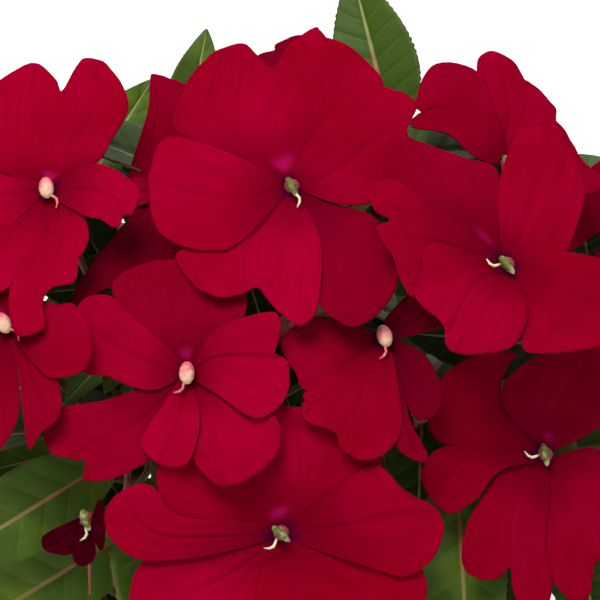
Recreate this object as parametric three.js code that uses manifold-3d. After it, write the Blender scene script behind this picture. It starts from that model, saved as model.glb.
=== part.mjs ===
import * as THREE from 'three';
import { mergeVertices } from 'three/addons/utils/BufferGeometryUtils.js';
import Module from 'manifold-3d';

const wasm = await Module();
wasm.setup();
const { Manifold } = wasm;

// Pot and soil, millimetres
const potHeight = 105;
const potWall = 2.4;
const potFoot = 45;
const potMouth = 60;
const rimReach = 3.6;
const rimDepth = 13;
const floorThickness = 3;
const slotWidth = 3.6;
const soilTop = 92;
const clearance = 0.3;

// Plant
const mainStemRadius = 8.5;
const mainStemTop = 124;
const shootRadius = 3.7;
const stalkRadius = 1.05;
const spurRadius = 0.8;
const spurLength = 26;
const petalThickness = 0.9;
const faceGrid = [6, 2];
const roundGrid = [4, 1];
const shootSteps = 12;
const throatRadius = 1.3;
const throatDepth = 3;
const petalFoot = 1.6;
const leafThickness = 0.9;
const moundCentre = new THREE.Vector3(0, 0, 150);
const moundRadius = 128;
const moundHeight = 104;

// The face of the mound that looks at the eye: across it, up it and out of it
const degree = Math.PI / 180;
const faceTilt = 30 * degree;
const faceCentre = new THREE.Vector3(10, -65, 242);
const across = new THREE.Vector3(1, 0, 0);
const upward = new THREE.Vector3(0, Math.sin(faceTilt), Math.cos(faceTilt));
const outward = new THREE.Vector3(0, -Math.cos(faceTilt), Math.sin(faceTilt));
// The view: millimetres for a step of its grid at the face, the grid's middle, the eye's distance
const viewStep = 0.27;
const viewMiddle = 300;
const sight = 1200;
const onFace = ([u, v, w]) => faceCentre.clone()
  .addScaledVector(across, u).addScaledVector(upward, v).addScaledVector(outward, w);

// The flowers of the face, read on the view's grid: the eye of each, how far it stands in front of the
// face's centre, the turn of its face, and for each petal its layer and its outline, counter-clockwise
// from the throat round to the throat
const faceFlowers = {
  flower_centre: { eye: [292, 187], depth: -5, turn: [-4, 27], shoot: 0, step: 10, petals: [
    [0, [
      330, 150, 370, 108, 384, 86, 372, 66, 347, 45, 320, 35, 317, 27, 300, 36, 285, 50, 273, 68,
      258, 56, 243, 44, 218, 51, 203, 62, 188, 80, 178, 105, 176, 130, 230, 160,
    ]],
    [0, [
      312, 235, 318, 300, 340, 322, 358, 326, 378, 315, 394, 292, 400, 265, 392, 235, 370, 214,
      340, 205,
    ]],
    [1.2, [
      220, 232, 178, 252, 180, 267, 192, 282, 205, 293, 222, 298, 243, 294, 258, 288, 272, 305,
      297, 325, 312, 318, 319, 300, 322, 250, 312, 218,
    ]],
    [1.2, [
      335, 203, 372, 203, 400, 180, 413, 150, 407, 130, 416, 102, 383, 87, 356, 86, 335, 105, 298,
      160,
    ]],
    [2.2, [250, 162, 200, 143, 170, 137, 156, 152, 149, 185, 155, 225, 175, 243, 207, 251, 240, 243]],
  ] },
  flower_upper_left: { eye: [47, 190], depth: -17, turn: [-14, 32], shoot: 1, step: 10, petals: [
    [0, [0, 168, -30, 165, -50, 190, -40, 220, 0, 230]],
    [0, [-25, 240, -42, 270, -25, 298, 14, 283, 42, 238]],
    [0.5, [
      96, 163, 110, 143, 129, 105, 110, 68, 88, 58, 77, 66, 62, 91, 55, 78, 33, 63, 0, 80, -22, 98,
      -35, 125, -28, 155, 0, 172,
    ]],
    [1.6, [
      43, 225, 36, 245, 10, 290, 16, 334, 44, 328, 43, 303, 52, 288, 75, 282, 68, 268, 84, 252, 89,
      234, 84, 218, 70, 205,
    ]],
    [2.4, [85, 216, 100, 219, 113, 227, 121, 224, 124, 216, 133, 212, 137, 186, 96, 164]],
  ] },
  flower_behind_left: { eye: [163, 190], depth: -28, turn: [-8, 32], shoot: 0, step: 10, petals: [
    [0, [190, 150, 205, 112, 197, 90, 156, 74, 150, 82, 149, 108, 141, 135, 130, 178]],
    [0, [192, 238, 216, 226, 226, 200, 216, 176, 196, 166]],
    [1.2, [135, 178, 119, 188, 120, 202, 140, 206]],
    [1.2, [
      140, 206, 108, 244, 76, 288, 74, 303, 90, 297, 110, 286, 132, 265, 145, 269, 178, 267, 192,
      248, 184, 220,
    ]],
  ] },
  flower_far_left: { eye: [5, 325], depth: -1, turn: [-22, 28], shoot: 1, step: 10, petals: [
    [0, [-25, 375, -30, 415, -15, 448, 2, 447, 20, 405]],
    [0, [-20, 300, -55, 290, -85, 315, -88, 350, -60, 378, -20, 365]],
    [0, [22, 290, 20, 262, -10, 240, -50, 245, -60, 275, -30, 305]],
    [1.2, [18, 370, 28, 446, 40, 434, 60, 414, 57, 380, 30, 345]],
    [2, [40, 370, 56, 378, 86, 368, 91, 335, 75, 305, 60, 305, 45, 301, 30, 306]],
  ] },
  flower_middle_left: { eye: [187, 375], depth: 14, turn: [-8, 22], shoot: 1, step: 10, petals: [
    [0, [243, 320, 240, 277, 212, 264, 172, 260, 135, 267, 112, 287, 128, 318]],
    [0, [110, 399, 58, 409, 45, 432, 50, 452, 72, 459, 86, 457, 85, 480, 120, 476, 165, 445]],
    [1, [
      165, 345, 130, 315, 110, 296, 85, 299, 72, 318, 70, 348, 85, 373, 108, 376, 130, 386, 155,
      390,
    ]],
    [1, [197, 420, 193, 458, 218, 485, 240, 483, 262, 470, 278, 450, 280, 425, 262, 402, 230, 385]],
    [2, [165, 402, 142, 441, 160, 464, 188, 462, 200, 420]],
    [2.4, [215, 393, 255, 418, 284, 400, 290, 368, 283, 358, 275, 354, 279, 335, 273, 312, 215, 330]],
  ] },
  flower_small: { eye: [385, 338], depth: 7, turn: [4, 26], shoot: 4, petals: [
    [0, [415, 335, 445, 325, 460, 308, 450, 290, 425, 283, 388, 315]],
    [0, [408, 408, 422, 420, 438, 410, 441, 388, 425, 355]],
    [0.6, [325, 317, 300, 323, 280, 342, 295, 372, 300, 385, 313, 392, 335, 378]],
    [1.4, [390, 380, 395, 443, 422, 462, 428, 456, 420, 440, 408, 415]],
    [2.2, [
      350, 362, 322, 383, 303, 395, 311, 407, 303, 419, 335, 433, 340, 448, 358, 459, 375, 458,
      394, 444, 402, 420, 395, 365,
    ]],
  ] },
  flower_right: { eye: [507, 265], depth: 7, turn: [14, 28], shoot: 2, step: 10, petals: [
    [0, [
      501, 220, 500, 180, 490, 164, 465, 158, 420, 142, 405, 137, 387, 150, 376, 178, 400, 195,
      440, 220,
    ]],
    [0.5, [
      540, 268, 562, 260, 583, 205, 580, 170, 565, 142, 540, 127, 518, 135, 505, 160, 499, 190,
      499, 225,
    ]],
    [1.3, [
      430, 205, 400, 183, 380, 180, 370, 195, 376, 212, 395, 220, 376, 229, 398, 265, 412, 297,
      455, 282,
    ]],
    [1.3, [525, 310, 522, 345, 540, 353, 602, 346, 630, 322, 640, 288, 617, 265, 567, 252, 545, 260]],
    [2.2, [
      440, 243, 424, 252, 420, 275, 414, 297, 443, 325, 446, 345, 460, 354, 506, 350, 522, 332,
      527, 305,
    ]],
  ] },
  flower_low_centre: { eye: [281, 534], depth: 24, turn: [0, 10], shoot: 4, petals: [
    [0, [
      330, 502, 366, 488, 380, 466, 378, 440, 345, 420, 292, 406, 240, 420, 192, 440, 161, 462,
      157, 485, 163, 505, 182, 517, 240, 525,
    ]],
    [0, [222, 549, 147, 559, 129, 600, 136, 630, 172, 652, 222, 652, 262, 625, 262, 595, 266, 570]],
    [0.8, [262, 570, 256, 600, 270, 640, 330, 657, 385, 643, 420, 610, 425, 575, 400, 556, 340, 545]],
    [1.5, [
      240, 521, 190, 518, 168, 508, 155, 488, 140, 484, 120, 492, 108, 506, 105, 522, 112, 540,
      142, 560, 205, 556,
    ]],
    [1.8, [380, 571, 410, 575, 437, 552, 441, 514, 404, 490, 378, 465, 350, 478]],
  ] },
  flower_low_right: { eye: [545, 455], depth: -2, turn: [16, 20], shoot: 4, petals: [
    [0, [
      545, 520, 547, 560, 556, 585, 575, 602, 590, 595, 594, 568, 612, 545, 630, 500, 620, 465,
      592, 448,
    ]],
    [0, [
      503, 404, 498, 385, 505, 366, 517, 354, 480, 352, 450, 370, 440, 382, 427, 397, 430, 430,
      450, 447, 500, 454,
    ]],
    [0.8, [
      505, 466, 475, 508, 463, 540, 464, 568, 480, 579, 497, 579, 510, 568, 513, 590, 525, 615,
      545, 610, 553, 580, 546, 545, 549, 500,
    ]],
    [1.4, [592, 432, 628, 402, 634, 372, 610, 348, 575, 345, 545, 352, 507, 378, 505, 410]],
    [2.2, [448, 446, 424, 465, 422, 480, 430, 497, 450, 513, 477, 498, 500, 470]],
  ] },
  flower_upper_right: { eye: [508, 165], depth: -60, turn: [10, 46], shoot: 2, step: 10, petals: [
    [0, [550, 188, 588, 194, 604, 180, 584, 162, 556, 121, 535, 128]],
    [0.8, [535, 125, 532, 100, 517, 67, 495, 52, 477, 62, 484, 105]],
    [1.4, [545, 152, 562, 140, 556, 121, 553, 106, 522, 81, 507, 125]],
    [2.2, [
      498, 120, 478, 73, 434, 65, 415, 102, 422, 114, 412, 119, 413, 128, 440, 132, 456, 140, 473,
      156,
    ]],
  ] },
  flower_crest: { eye: [300, 96], depth: -67, turn: [0, 50], shoot: 0, step: 10, petals: [
    [0, [322, 70, 330, 52, 318, 38, 300, 35, 276, 44, 275, 50, 258, 56, 252, 70, 268, 86]],
    [1.2, [335, 98, 352, 84, 345, 62, 326, 55, 308, 70]],
    [1.2, [272, 92, 250, 96, 244, 112, 262, 124, 285, 116]],
  ] },
  flower_shaded: { eye: [86, 520], depth: 15, turn: [0, -24], shoot: 1, step: 10, petals: [
    [0, [50, 531, 41, 541, 48, 551, 73, 553]],
    [0.8, [100, 550, 105, 540, 105, 512, 99, 500]],
    [1.4, [73, 554, 78, 564, 88, 564, 96, 553]],
  ] },
  flower_far_right: { eye: [640, 225], depth: -85, turn: [25, 30], shoot: 2, step: 10, petals: [
    [0, [605, 246, 590, 262, 600, 290, 632, 300, 655, 275]],
    [0, [690, 240, 725, 225, 730, 190, 700, 170, 668, 185]],
    [1.2, [612, 196, 598, 188, 584, 196, 567, 250, 604, 230]],
    [1.2, [672, 180, 660, 150, 630, 140, 600, 160, 590, 172, 600, 190]],
  ] },
};

// Flowers round the rest of the mound: bearing from the front, height angle, roll, size
const roundFlowers = {
  flower_left_upper: { pose: [-72, 30, 8, 1], shoot: 5 },
  flower_left_lower: { pose: [-98, 3, -12, 0.96], shoot: 8 },
  flower_back_left: { pose: [-118, 42, 15, 1.02], shoot: 3, step: 10 },
  flower_back_low: { pose: [-142, 10, -6, 0.95], shoot: 3, step: 10 },
  flower_back: { pose: [178, 10, 12, 1], shoot: 7 },
  flower_back_top: { pose: [168, 52, 10, 1], shoot: 3, step: 10 },
  flower_back_right: { pose: [134, 30, -14, 1.03], shoot: 7 },
  flower_right_back: { pose: [114, -2, 6, 0.95], shoot: 6 },
  flower_right_lower: { pose: [74, 4, 12, 1], shoot: 6 },
  flower_front_left: { pose: [-40, -12, -10, 0.95], shoot: 5 },
  flower_front_low: { pose: [4, -20, 5, 0.92], shoot: 4 },
  flower_front_right: { pose: [42, -12, 14, 0.94], shoot: 4 },
};
// Their petals: angle, length, half spread, notch depth, layer, place of the notch
const plainPetals = [
  [90, 30, 47, 0.16, 0, 0], [20, 29, 40, 0.04, 1.2, 0], [160, 29, 40, 0.04, 1.2, 0],
  [240, 33, 36, 0.14, 2.2, 0], [300, 33, 36, 0.14, 0, 0],
];

// Shoots: bearing from the front, height angle of the tip, share of the mound's depth
const shoots = [
  [0, 88, 0.76], [-28, 44, 0.78], [92, 46, 0.76], [-148, 46, 0.76], [28, 12, 0.64],
  [-48, 8, 0.62], [100, 6, 0.62], [160, 8, 0.62], [-110, 8, 0.62],
];
const upperShoots = 4;

const bearing = (angle) => new THREE.Vector3(Math.sin(angle * degree), -Math.cos(angle * degree), 0);

const onMound = (turn, rise, share) => {
  const level = bearing(turn).multiplyScalar(moundRadius * share * Math.cos(rise * degree));
  return moundCentre.clone().add(level)
    .add(new THREE.Vector3(0, 0, moundHeight * share * Math.sin(rise * degree)));
};

const solidOf = (geometry) => {
  const plain = geometry.clone();
  plain.deleteAttribute('normal');
  plain.deleteAttribute('uv');
  const joined = mergeVertices(plain, 1e-4);
  return new Manifold(new wasm.Mesh({
    numProp: 3,
    vertProperties: new Float32Array(joined.attributes.position.array),
    triVerts: new Uint32Array(joined.index.array),
  }));
};

const sheet = (place, columns, rows) => {
  const geometry = new THREE.BoxGeometry(2, 1, 1, columns, rows, 1);
  const position = geometry.attributes.position;
  for (let i = 0; i < position.count; i += 1) {
    const point = place(position.getY(i) + 0.5, position.getX(i), position.getZ(i));
    position.setXYZ(i, point.x, point.y, point.z);
  }
  return solidOf(geometry);
};

const rod = (points, radius, steps, sides) => {
  const corner = (index) => new THREE.Vector2(radius, 0)
    .rotateAround(new THREE.Vector2(), index / sides * Math.PI * 2);
  const outline = new THREE.Shape(Array.from({ length: sides }, (_, index) => corner(index)));
  const path = points.length === 4
    ? new THREE.CubicBezierCurve3(...points)
    : new THREE.CatmullRomCurve3(points);
  return solidOf(new THREE.ExtrudeGeometry(outline, {
    steps, bevelEnabled: false, extrudePath: path,
  }));
};

const aimed = (geometry, direction, point) => {
  geometry.applyQuaternion(new THREE.Quaternion()
    .setFromUnitVectors(new THREE.Vector3(0, 1, 0), direction.clone().normalize()));
  geometry.translate(point.x, point.y, point.z);
  return solidOf(geometry);
};

// A flower's frame: its eye, the two directions of its face and the way it looks
const onGrid = (x, y) => new THREE.Vector2(x - viewMiddle, viewMiddle - y).multiplyScalar(viewStep);

const faceFrame = ({ eye, depth, turn }) => {
  const place = onGrid(...eye).multiplyScalar((sight - depth) / sight);
  return {
    eye: onFace([place.x, place.y, depth]),
    right: across.clone().addScaledVector(outward, -Math.tan(turn[0] * degree)),
    up: upward.clone().addScaledVector(outward, -Math.tan(turn[1] * degree)),
    normal: outward.clone(),
  };
};

const roundFrame = ([turn, rise, roll]) => {
  const eye = onMound(turn, rise, 1);
  const normal = new THREE.Vector3(eye.x / moundRadius ** 2, eye.y / moundRadius ** 2,
    (eye.z - moundCentre.z) / moundHeight ** 2).normalize();
  normal.z += 0.4;
  normal.normalize();
  const right = new THREE.Vector3(0, 0, 1).cross(normal).normalize().applyAxisAngle(normal, roll * degree);
  return { eye, right, up: normal.clone().cross(right), normal };
};

const petalHeight = (layer, s, share, wave) => layer * Math.min(1, 5 * s)
  - throatDepth * (1 - share) ** 3 + 0.5 * share ** 3 * Math.sin(wave);

// A point of the view's grid as the eye sees it on the tilted plane of a flower
const onFlower = ({ eye, depth, turn }, x, y) => {
  const slope = new THREE.Vector2(...turn.map((angle) => Math.tan(angle * degree)));
  const place = onGrid(...eye).multiplyScalar((sight - depth) / sight);
  const ray = onGrid(x, y);
  const reach = (sight - depth - slope.dot(place)) / (sight - slope.dot(ray));
  return ray.multiplyScalar(reach).sub(place);
};

// A petal from its outline: a sheet stretched between the throat, the two flanks and the tip
const outlinePetal = (flower, [layer, outline], order) => {
  const points = [];
  for (let i = 0; i < outline.length; i += 2) points.push(onFlower(flower, outline[i], outline[i + 1]));
  const middle = points.reduce((sum, point) => sum.add(point), new THREE.Vector2()).normalize();
  const side = new THREE.Vector2(-middle.y, middle.x);
  const foot = (half) => middle.clone().multiplyScalar(throatRadius).addScaledVector(side, half);
  const span = points.map((point) => point.dot(side));
  const slimness = Math.max(...points.map((point) => point.dot(middle)))
    / (Math.max(...span) - Math.min(...span));
  const flank = Math.min(0.38, 0.2 + 0.08 * slimness);
  const length = Math.max(...points.map((point) => point.length()));
  const curve = new THREE.SplineCurve([foot(-petalFoot), ...points, foot(petalFoot)]);
  const between = (one, other, share) => one.clone().lerp(other, share);
  return (s, t) => {
    const u = (t + 1) / 2;
    const throat = between(curve.getPoint(0), curve.getPoint(1), u);
    const tip = curve.getPoint(flank + (1 - 2 * flank) * u);
    const flanks = between(curve.getPoint(flank * s), curve.getPoint(1 - flank * s), u);
    const corners = between(between(curve.getPoint(0), curve.getPoint(1), u),
      between(curve.getPoint(flank), curve.getPoint(1 - flank), u), s);
    const { x, y } = between(throat, tip, s).add(flanks).sub(corners);
    return [x, y, petalHeight(layer, s, Math.min(1, Math.hypot(x, y) / length), 3.1 * t + order)];
  };
};

// A petal of a flower round the mound
const petalPoint = ([angle, length, spread, notch, layer, notchPlace], s, t) => {
  const q = Math.sin(Math.PI / 2 * t);
  const shoulder = 0.35 + 0.65 * Math.cbrt(1 - Math.abs(q) ** 3);
  const reach = length * shoulder * (1 - notch * Math.exp(-(((q - notchPlace) / 0.2) ** 2)));
  const r = throatRadius + (reach - throatRadius) * s;
  const a = (angle + spread * q) * degree;
  return [r * Math.cos(a), r * Math.sin(a), petalHeight(layer, s, Math.min(1, r / length), 3.1 * q + angle)];
};

const inFrame = (frame, [x, y, z]) => frame.eye.clone().addScaledVector(frame.right, x)
  .addScaledVector(frame.up, y).addScaledVector(frame.normal, z);

const corolla = (frame, petals, [columns, rows]) => {
  const sheets = petals.map((petal) => sheet((s, t, side) => {
    const [x, y, z] = petal(s, -t);
    return inFrame(frame, [x, y, z + side * petalThickness]);
  }, columns, rows));
  const hub = aimed(new THREE.CylinderGeometry(2.4, 1.6, 4.6, 5), frame.normal,
    inFrame(frame, [0, 0, -throatDepth - 0.4]));
  return Manifold.union([hub, ...sheets]);
};
const faceCorolla = (flower) => corolla(faceFrame(flower),
  flower.petals.map((petal, order) => outlinePetal(flower, petal, order)), faceGrid);
const roundCorolla = (frame, size) => corolla(frame, plainPetals.map(([angle, length, ...rest]) => (
  (s, t) => petalPoint([angle, length * size, ...rest], s, t))), roundGrid);

// Shoots
const shootCurve = ([turn, rise, share]) => {
  const tip = onMound(turn, rise, share);
  const steep = rise > 80;
  const start = steep
    ? new THREE.Vector3(0, 0, mainStemTop + clearance)
    : bearing(turn).multiplyScalar(mainStemRadius + clearance + 0.1)
      .setZ(rise > 30 ? mainStemTop - 8 : mainStemTop - 22);
  const lead = steep ? new THREE.Vector3(0, 0, 20) : bearing(turn).multiplyScalar(12);
  return new THREE.CubicBezierCurve3(start, start.clone().add(lead),
    tip.clone().add(new THREE.Vector3(tip.x * -0.25, tip.y * -0.25, -34)), tip);
};
const shootCurves = shoots.map(shootCurve);

// The way from the back of a flower to a shoot
const stalkPoints = (from, back, shoot, step = 11, bow = 0.35) => {
  const place = step / shootSteps;
  const curve = shootCurves[shoot];
  const centre = curve.getPointAt(place);
  const axis = curve.getTangentAt(place);
  const away = from.clone().sub(centre);
  away.addScaledVector(axis, -away.dot(axis)).normalize();
  const end = centre.clone().addScaledVector(away, shootRadius + clearance + 0.05);
  const span = from.distanceTo(end);
  return [from, from.clone().addScaledVector(back, span * bow),
    end.clone().addScaledVector(away, Math.max(5, span * 0.3)), end];
};

const spurPoints = (frame, swing) => {
  const start = inFrame(frame, [0, 0, -throatDepth - 2]);
  const back = frame.normal.clone().negate();
  const side = frame.up.clone().normalize().applyAxisAngle(frame.normal, swing * degree);
  const at = (depth, aside) => start.clone().addScaledVector(back, depth * spurLength)
    .addScaledVector(side, aside * spurLength);
  return [start, at(0.25, 0.08), at(0.4, 0.5), at(0.3, 0.9)];
};

// Leaves
const bladeWidth = (s, petiole) => {
  const share = Math.max(0, (s - petiole) / (1 - petiole));
  return Math.sin(Math.PI * share ** 0.78) ** 0.85;
};

const leafPoint = (leaf, s, t, side) => {
  const { base, turn, rise, droop, length, width, twist = 0 } = leaf;
  const heading = bearing(turn);
  const bend = droop * degree;
  const start = rise * degree;
  const now = start - bend * s;
  const along = length / bend * (Math.sin(start) - Math.sin(now));
  const height = length / bend * (Math.cos(now) - Math.cos(start));
  const level = new THREE.Vector3(0, 0, 1);
  const top = heading.clone().multiplyScalar(-Math.sin(now)).addScaledVector(level, Math.cos(now));
  const way = heading.clone().multiplyScalar(Math.cos(now)).addScaledVector(level, Math.sin(now));
  const sideways = way.clone().cross(top).applyAxisAngle(way, twist * degree * Math.min(1, s * 2));
  top.applyAxisAngle(way, twist * degree * Math.min(1, s * 2));
  const half = Math.max(s < 0.9 ? 1.5 : 0.5, width * bladeWidth(s, 0.16));
  const fold = 0.28 * Math.abs(t) * (half - 1.5) * Math.min(1, s * 5);
  return base.clone().addScaledVector(heading, along).addScaledVector(level, height)
    .addScaledVector(sideways, half * t).addScaledVector(top, fold + side * leafThickness);
};

const leafSolid = (leaf) => sheet((s, t, side) => leafPoint(leaf, s, t, side), 2, 3);

const whorlLeaf = (shoot, step, turn, pose) => {
  const curve = shootCurves[shoot];
  const centre = curve.getPointAt(step / shootSteps);
  const axis = curve.getTangentAt(step / shootSteps);
  const out = bearing(turn + pose.swing);
  const away = out.clone().addScaledVector(axis, -out.dot(axis)).normalize();
  return {
    base: centre.clone().addScaledVector(away, shootRadius + 1.7),
    turn: turn + pose.swing, rise: pose.rise, droop: pose.droop, length: pose.length,
    width: pose.length * 0.17, twist: pose.twist,
  };
};

const collar = (shoot, place) => {
  const inner = shootRadius + clearance + 0.6;
  const outer = shootRadius + 2.6;
  const profile = [[inner, -1.8], [outer, -1.8], [outer, 1.8], [inner, 1.8], [inner, -1.8]];
  const ring = new THREE.LatheGeometry(profile.map(([x, y]) => new THREE.Vector2(x, y)), 6);
  const curve = shootCurves[shoot];
  return aimed(ring, curve.getTangentAt(place), curve.getPointAt(place));
};

// Leaves seen between the flowers: foot and tip on the face, half width, bulge, side slope
const faceLeaves = {
  leaf_crest: { foot: [27.5, 47, -94], tip: [15, 98, -110],
    width: 12.5, bulge: 2, slope: 0.3, shoot: 0, step: 9,
  },
  leaf_crest_small: { foot: [-33, 44, -76], tip: [-27.3, 79, -97],
    width: 8, bulge: 2, slope: -0.2, shoot: 0, step: 10,
  },
  leaf_between: { foot: [-72, 14, -58], tip: [-42.5, 63.5, -80],
    width: 14, bulge: 4, slope: -0.1, shoot: 0, step: 9,
  },
  leaf_low_left: { foot: [-49, -42, -12], tip: [-108, -78, -4],
    width: 12, bulge: 5, slope: 0.25, shoot: 5, bow: 0.18,
  },
  leaf_low_bright: { foot: [-44, -62, -24], tip: [-104, -98, -16],
    width: 13, bulge: 5, slope: 0.2, shoot: 1, step: 9,
  },
  leaf_low_right: { foot: [42, -42, -6], tip: [46, -112, 6], width: 12, bulge: 5, slope: -0.2, shoot: 4 },
};

const faceLeafPoint = ({ foot, tip, width, bulge, slope }, s, t, side) => {
  const from = onFace(foot);
  const to = onFace(tip);
  const [du, dv] = [tip[0] - foot[0], tip[1] - foot[1]];
  const size = Math.hypot(du, dv);
  const sideways = across.clone().multiplyScalar(dv / size).addScaledVector(upward, -du / size)
    .addScaledVector(outward, slope);
  const half = Math.max(s < 0.9 ? 1.3 : 0.5, width * bladeWidth(s, 0));
  return from.clone().lerp(to, s).addScaledVector(sideways, half * t)
    .addScaledVector(outward, bulge * 4 * s * (1 - s) + 0.25 * Math.abs(t) * (half - 1.3)
      + side * leafThickness);
};

const faceLeafSolid = (leaf) => sheet((s, t, side) => faceLeafPoint(leaf, s, t, side), 2, 5);

// The mound's upper edge on the view's grid, left to right, and whether a leaf's edge is below it
const skyline = [
  [0, 78], [33, 60], [60, 88], [90, 56], [125, 85], [150, 72], [185, 80], [200, 60], [245, 42],
  [260, 55], [275, 45], [318, 27], [335, 40], [420, 75], [440, 62], [478, 70], [500, 52],
  [523, 80], [556, 120], [583, 160], [600, 168],
];
const skylineGap = 8;
const skylineAt = (x) => {
  const after = Math.max(1, skyline.findIndex(([place]) => place >= x));
  const [[x0, y0], [x1, y1]] = [skyline[after - 1], skyline[after]];
  return y0 + (y1 - y0) * Math.max(0, x - x0) / (x1 - x0);
};
const isUnderSkyline = (point) => {
  const offset = point.clone().sub(faceCentre);
  const scale = sight / (sight - offset.dot(outward)) / viewStep;
  const x = viewMiddle + offset.dot(across) * scale;
  const y = viewMiddle - offset.dot(upward) * scale;
  return x < 0 || x > viewMiddle * 2 || y > skylineAt(x) + skylineGap;
};
const leafEdge = [[0.3, -1], [0.3, 1], [0.6, -1], [0.6, 1], [0.85, 0], [1, 0]];
const isLeafHidden = (leaf) => leafEdge.every(([s, t]) => isUnderSkyline(leafPoint(leaf, s, t, 0)));

// Buds: place on the mound or on its face, and the way each points
const buds = {
  bud_face_low: { at: onFace([33, -31, -12]), way: outward, shoot: 4, step: 9 },
  bud_face_middle: { at: onFace([-3, -6, -10]), way: outward, shoot: 1, step: 10 },
};
const budSolid = ({ at, way }) => {
  const geometry = new THREE.SphereGeometry(3.2, 6, 4);
  geometry.scale(1, 1.7, 1);
  return aimed(geometry, way, at);
};

const stalk = (from, back, { shoot, step, bow }) => (
  rod(stalkPoints(from, back, shoot, step, bow), stalkRadius, 4, 5));

const flowerSolid = (frame, petals, on) => Manifold.union([
  petals,
  stalk(inFrame(frame, [0, 0, -throatDepth - 1.6]), frame.normal.clone().negate(), on),
  rod(spurPoints(frame, 180), spurRadius, 3, 3),
]);

// Pot
const turned = (profile, segments) => solidOf(new THREE.LatheGeometry(
  profile.map(([x, y]) => new THREE.Vector2(x, y)), segments,
).rotateX(Math.PI / 2));

const innerAt = (z) => potFoot - potWall + (potMouth - potFoot + potWall) * z / potHeight;
const outerAt = (z) => innerAt(z) + potWall;
const rimFoot = potHeight - rimDepth;
const potProfile = [
  [0, 0], [potFoot, 0], [outerAt(rimFoot), rimFoot], [outerAt(rimFoot) + rimReach - 1, rimFoot],
  [outerAt(rimFoot) + rimReach, rimFoot + 1.2], [outerAt(rimFoot) + rimReach, potHeight - 2],
  [outerAt(rimFoot) + rimReach - 2, potHeight], [innerAt(potHeight) + 1, potHeight],
  [innerAt(potHeight), potHeight - 1], [innerAt(floorThickness), floorThickness], [0, floorThickness],
];
const slot = (angle) => {
  const geometry = new THREE.BoxGeometry(14, slotWidth, floorThickness * 3);
  geometry.translate(29, 0, 0);
  geometry.rotateZ(angle * degree);
  return solidOf(geometry);
};
const potSolid = turned(potProfile, 32)
  .subtract(Manifold.union([0, 60, 120, 180, 240, 300].map(slot)));

// Soil, with a pocket round the foot of the main stem
const pocketDepth = 18;
const soilRadius = (z) => innerAt(z) - clearance - 0.15;
const soilProfile = [
  [0, floorThickness + clearance], [soilRadius(floorThickness) - 0.2, floorThickness + clearance],
  [soilRadius(soilTop - 2), soilTop - 2], [soilRadius(soilTop) - 6, soilTop - 0.6],
  [34, soilTop + 0.8], [20, soilTop], [0, soilTop],
];
const pocket = solidOf(new THREE.CylinderGeometry(mainStemRadius + clearance + 0.1,
  mainStemRadius + clearance + 0.1, pocketDepth * 2, 16).rotateX(Math.PI / 2))
  .translate([0, 0, soilTop]);
const soilSolid = turned(soilProfile, 16).subtract(pocket);

const stemFoot = soilTop - pocketDepth + clearance;
const mainStemSolid = solidOf(new THREE.CylinderGeometry(mainStemRadius, mainStemRadius,
  mainStemTop - stemFoot, 16).rotateX(Math.PI / 2)).translate([0, 0, (mainStemTop + stemFoot) / 2]);

const group = new THREE.Group();
group.name = 'potted_new_guinea_impatiens';
const taken = [];

const add = (name, solid, colour, roughness) => {
  taken.push({ name, solid, box: solid.boundingBox() });
  const mesh = solid.getMesh();
  const geometry = new THREE.BufferGeometry();
  const points = new Float32Array(mesh.numVert * 3);
  for (let i = 0; i < mesh.numVert; i += 1) {
    points.set(mesh.vertProperties.subarray(i * mesh.numProp, i * mesh.numProp + 3), i * 3);
  }
  geometry.setAttribute('position', new THREE.BufferAttribute(points, 3));
  geometry.setIndex(Array.from(mesh.triVerts));
  geometry.computeVertexNormals();
  const material = new THREE.MeshStandardMaterial({ color: colour, roughness, metalness: 0 });
  const piece = new THREE.Mesh(geometry, material);
  piece.name = name;
  group.add(piece);
};

add('pot', potSolid, 0xa85a38, 0.7);
add('soil', soilSolid, 0x3a2a1c, 0.95);
add('main_stem', mainStemSolid, 0x7c6a3a, 0.6);
shootCurves.forEach(({ v0, v1, v2, v3 }, index) => {
  add(`shoot_${index + 1}`, rod([v0, v1, v2, v3], shootRadius, shootSteps, 6), 0x8a6a48, 0.5);
});
Object.entries(faceFlowers).forEach(([name, flower]) => {
  add(name, flowerSolid(faceFrame(flower), faceCorolla(flower), flower), 0xa8002e, 0.55);
});
Object.entries(roundFlowers).forEach(([name, flower]) => {
  const frame = roundFrame(flower.pose);
  add(name, flowerSolid(frame, roundCorolla(frame, flower.pose[3]), flower), 0xa8002e, 0.55);
});
Object.entries(faceLeaves).forEach(([name, leaf]) => {
  const back = onFace(leaf.foot).sub(onFace(leaf.tip)).normalize()
    .addScaledVector(outward, -0.6).normalize();
  const petiole = stalk(faceLeafPoint(leaf, 0.03, 0, 0), back, leaf);
  add(name, Manifold.union([faceLeafSolid(leaf), petiole]), 0x47661f, 0.5);
});
Object.entries(buds).forEach(([name, bud]) => {
  const back = bud.way.clone().normalize().negate();
  const petiole = stalk(bud.at.clone().addScaledVector(back, 3), back, bud);
  add(name, Manifold.union([budSolid(bud), petiole]), 0x8c1a34, 0.5);
});

// Whorls: every leaf takes the first free pose, from the roomiest to the most cramped
const leafGap = 0.4;
const lowestLeaf = 34;
const leafPoses = [84, 70, 58].flatMap((length) => [0, 16, -16, 30, -30].flatMap((swing) => (
  [[30, 60], [12, 50], [50, 80], [-8, 40], [66, 70], [-26, 30]]
    .map(([rise, droop]) => ({ length, swing, rise, droop })))));

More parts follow.
